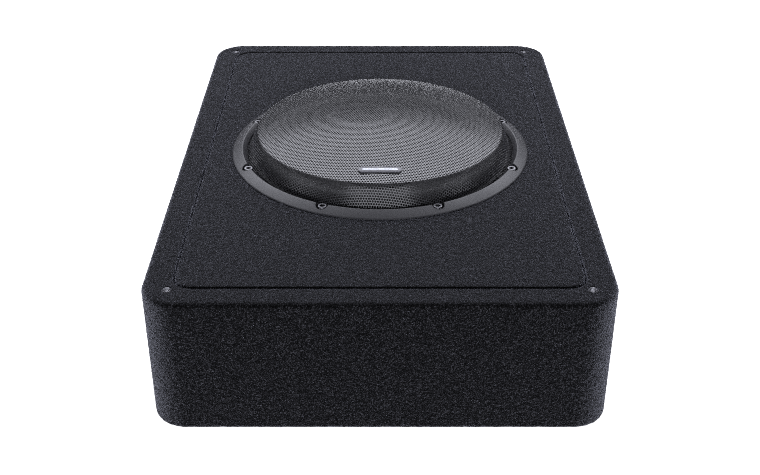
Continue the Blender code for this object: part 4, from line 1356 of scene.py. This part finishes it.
def make_lights():
    for name, settings in LIGHTS.items():
        add_light(name, *settings)
    world = bpy.data.worlds.new("studio")
    world.use_nodes = True
    tree = world.node_tree
    seen = node(tree, "ShaderNodeLightPath").outputs["Is Camera Ray"]
    inputs = {"Value": seen, "To Min": WORLD_LIGHT, "To Max": 1.0}
    strength = node(tree, "ShaderNodeMapRange", inputs).outputs[0]
    background = tree.nodes["Background"].inputs
    background["Color"].default_value = (1, 1, 1, 1)
    tree.links.new(strength, background["Strength"])
    SCENE.world = world
    SCENE.view_settings.view_transform = "Standard"
    SCENE.cycles.filter_width = 1.15
    SCENE.cycles.use_denoising = False


def dress_inside():
    """Finishes for the CAD nodes that no other piece stands for."""
    boards = [f"{side}_wall" for side in ("left", "right", "front", "rear")]
    boards += [f"corner_post_{end}_{side}" for end in ("front", "rear") for side in ("left", "right")]
    dress(fibreboard_material(), "bottom_panel", "baffle_frame", "baffle_board", *boards)
    dress(painted_steel_material("basket_paint", 0.018, 0.45), "driver_basket")
    dress(metal_material("motor_zinc", (0.60, 0.60, 0.58), 0.32), "top_plate", "pole_yoke")
    dress(grained_material("ferrite", grey(0.022), grey(0.050), 900, 0.0001, 0.6), "ring_magnet")
    foam = grained_material("gasket_foam", grey(0.030), grey(0.075), 1600, 0.0003, 0.95)
    dress(foam, "basket_gasket")
    dress(satin_plastic_material("terminal_plastic", 0.020, 0.40), "terminal_block")
    sleeve = grained_material("wire_sleeve", grey(0.012), grey(0.026), 1200, 0.00008, 0.5)
    dress(sleeve, "speaker_lead")
    former = metal_material("former_metal", (0.30, 0.30, 0.31), 0.40, stretch=(1, 1, 6))
    dress(former, "coil_former")
    dress(winding_material(), "voice_coil")
    dress(circuit_material(), "amp_board")


def main():
    make_camera()
    wrap_pile = carpet_material("wrap_carpet_pile", 0.007, 0.54, 0.034)
    panel_pile = carpet_material("panel_carpet_pile", 0.006, 0.60, 0.020)
    plastic = satin_plastic_material("ring_plastic", 0.024, 0.42)
    steel = painted_steel_material("grille_paint", 0.028, 0.36)
    silver = metal_material("satin_silver", (0.36, 0.37, 0.39), 0.42)
    screw_steel = metal_material("screw_steel", (0.20, 0.20, 0.21), 0.34)
    zinc = metal_material("insert_zinc", (0.62, 0.62, 0.64), 0.42)
    nickel = metal_material("nickel_plate", (0.66, 0.64, 0.60), 0.22)
    gloss = satin_plastic_material("badge_plastic", 0.110, 0.38)
    black = satin_plastic_material("fitting_plastic", 0.016, 0.42)
    anodised = metal_material(
        "black_anodised", (0.100, 0.100, 0.106), 0.38, marks=420, stretch=(12, 1, 1)
    )
    paint = tinted_plastic_material("white_print", (0.62, 0.62, 0.62), 0.55)
    rubber = grained_material("surround_rubber", grey(0.006), grey(0.013), 1100, 0.0001, 0.62)
    paper = grained_material("cone_pulp", grey(0.008), grey(0.018), 420, 0.0003, 0.85)
    filling = grained_material("polyester_fibre", grey(0.62), (0.86, 0.86, 0.82), 700, 0.0012, 0.95)
    make_wrap(wrap_pile)
    make_panel(panel_pile)
    make_base(wrap_pile)
    make_ring(plastic)
    make_screws(screw_steel)
    make_inserts(zinc)
    make_grille(steel)
    make_badge(gloss, silver)
    make_surround(rubber)
    make_spider(cloth_material())
    make_cone(paper)
    make_tinsel(metal_material("tinned_braid", (0.62, 0.42, 0.28), 0.35, marks=2600))
    make_wadding(filling)
    make_amp_plate(anodised)
    make_plate_marks(paint)
    make_plate_screws(screw_steel)
    make_knobs(black, paint)
    make_switches(black)
    red = tinted_plastic_material("red_insulator", (0.45, 0.02, 0.015), 0.4)
    make_jacks(black, nickel, paint, red)
    make_input_socket(black, nickel)
    amber = tinted_plastic_material("amber_fuse", (0.75, 0.20, 0.015), 0.22)
    make_fuse(amber, nickel, black)
    make_power_terminal(black, nickel)
    dress_inside()
    make_floor()
    make_lights()


main()
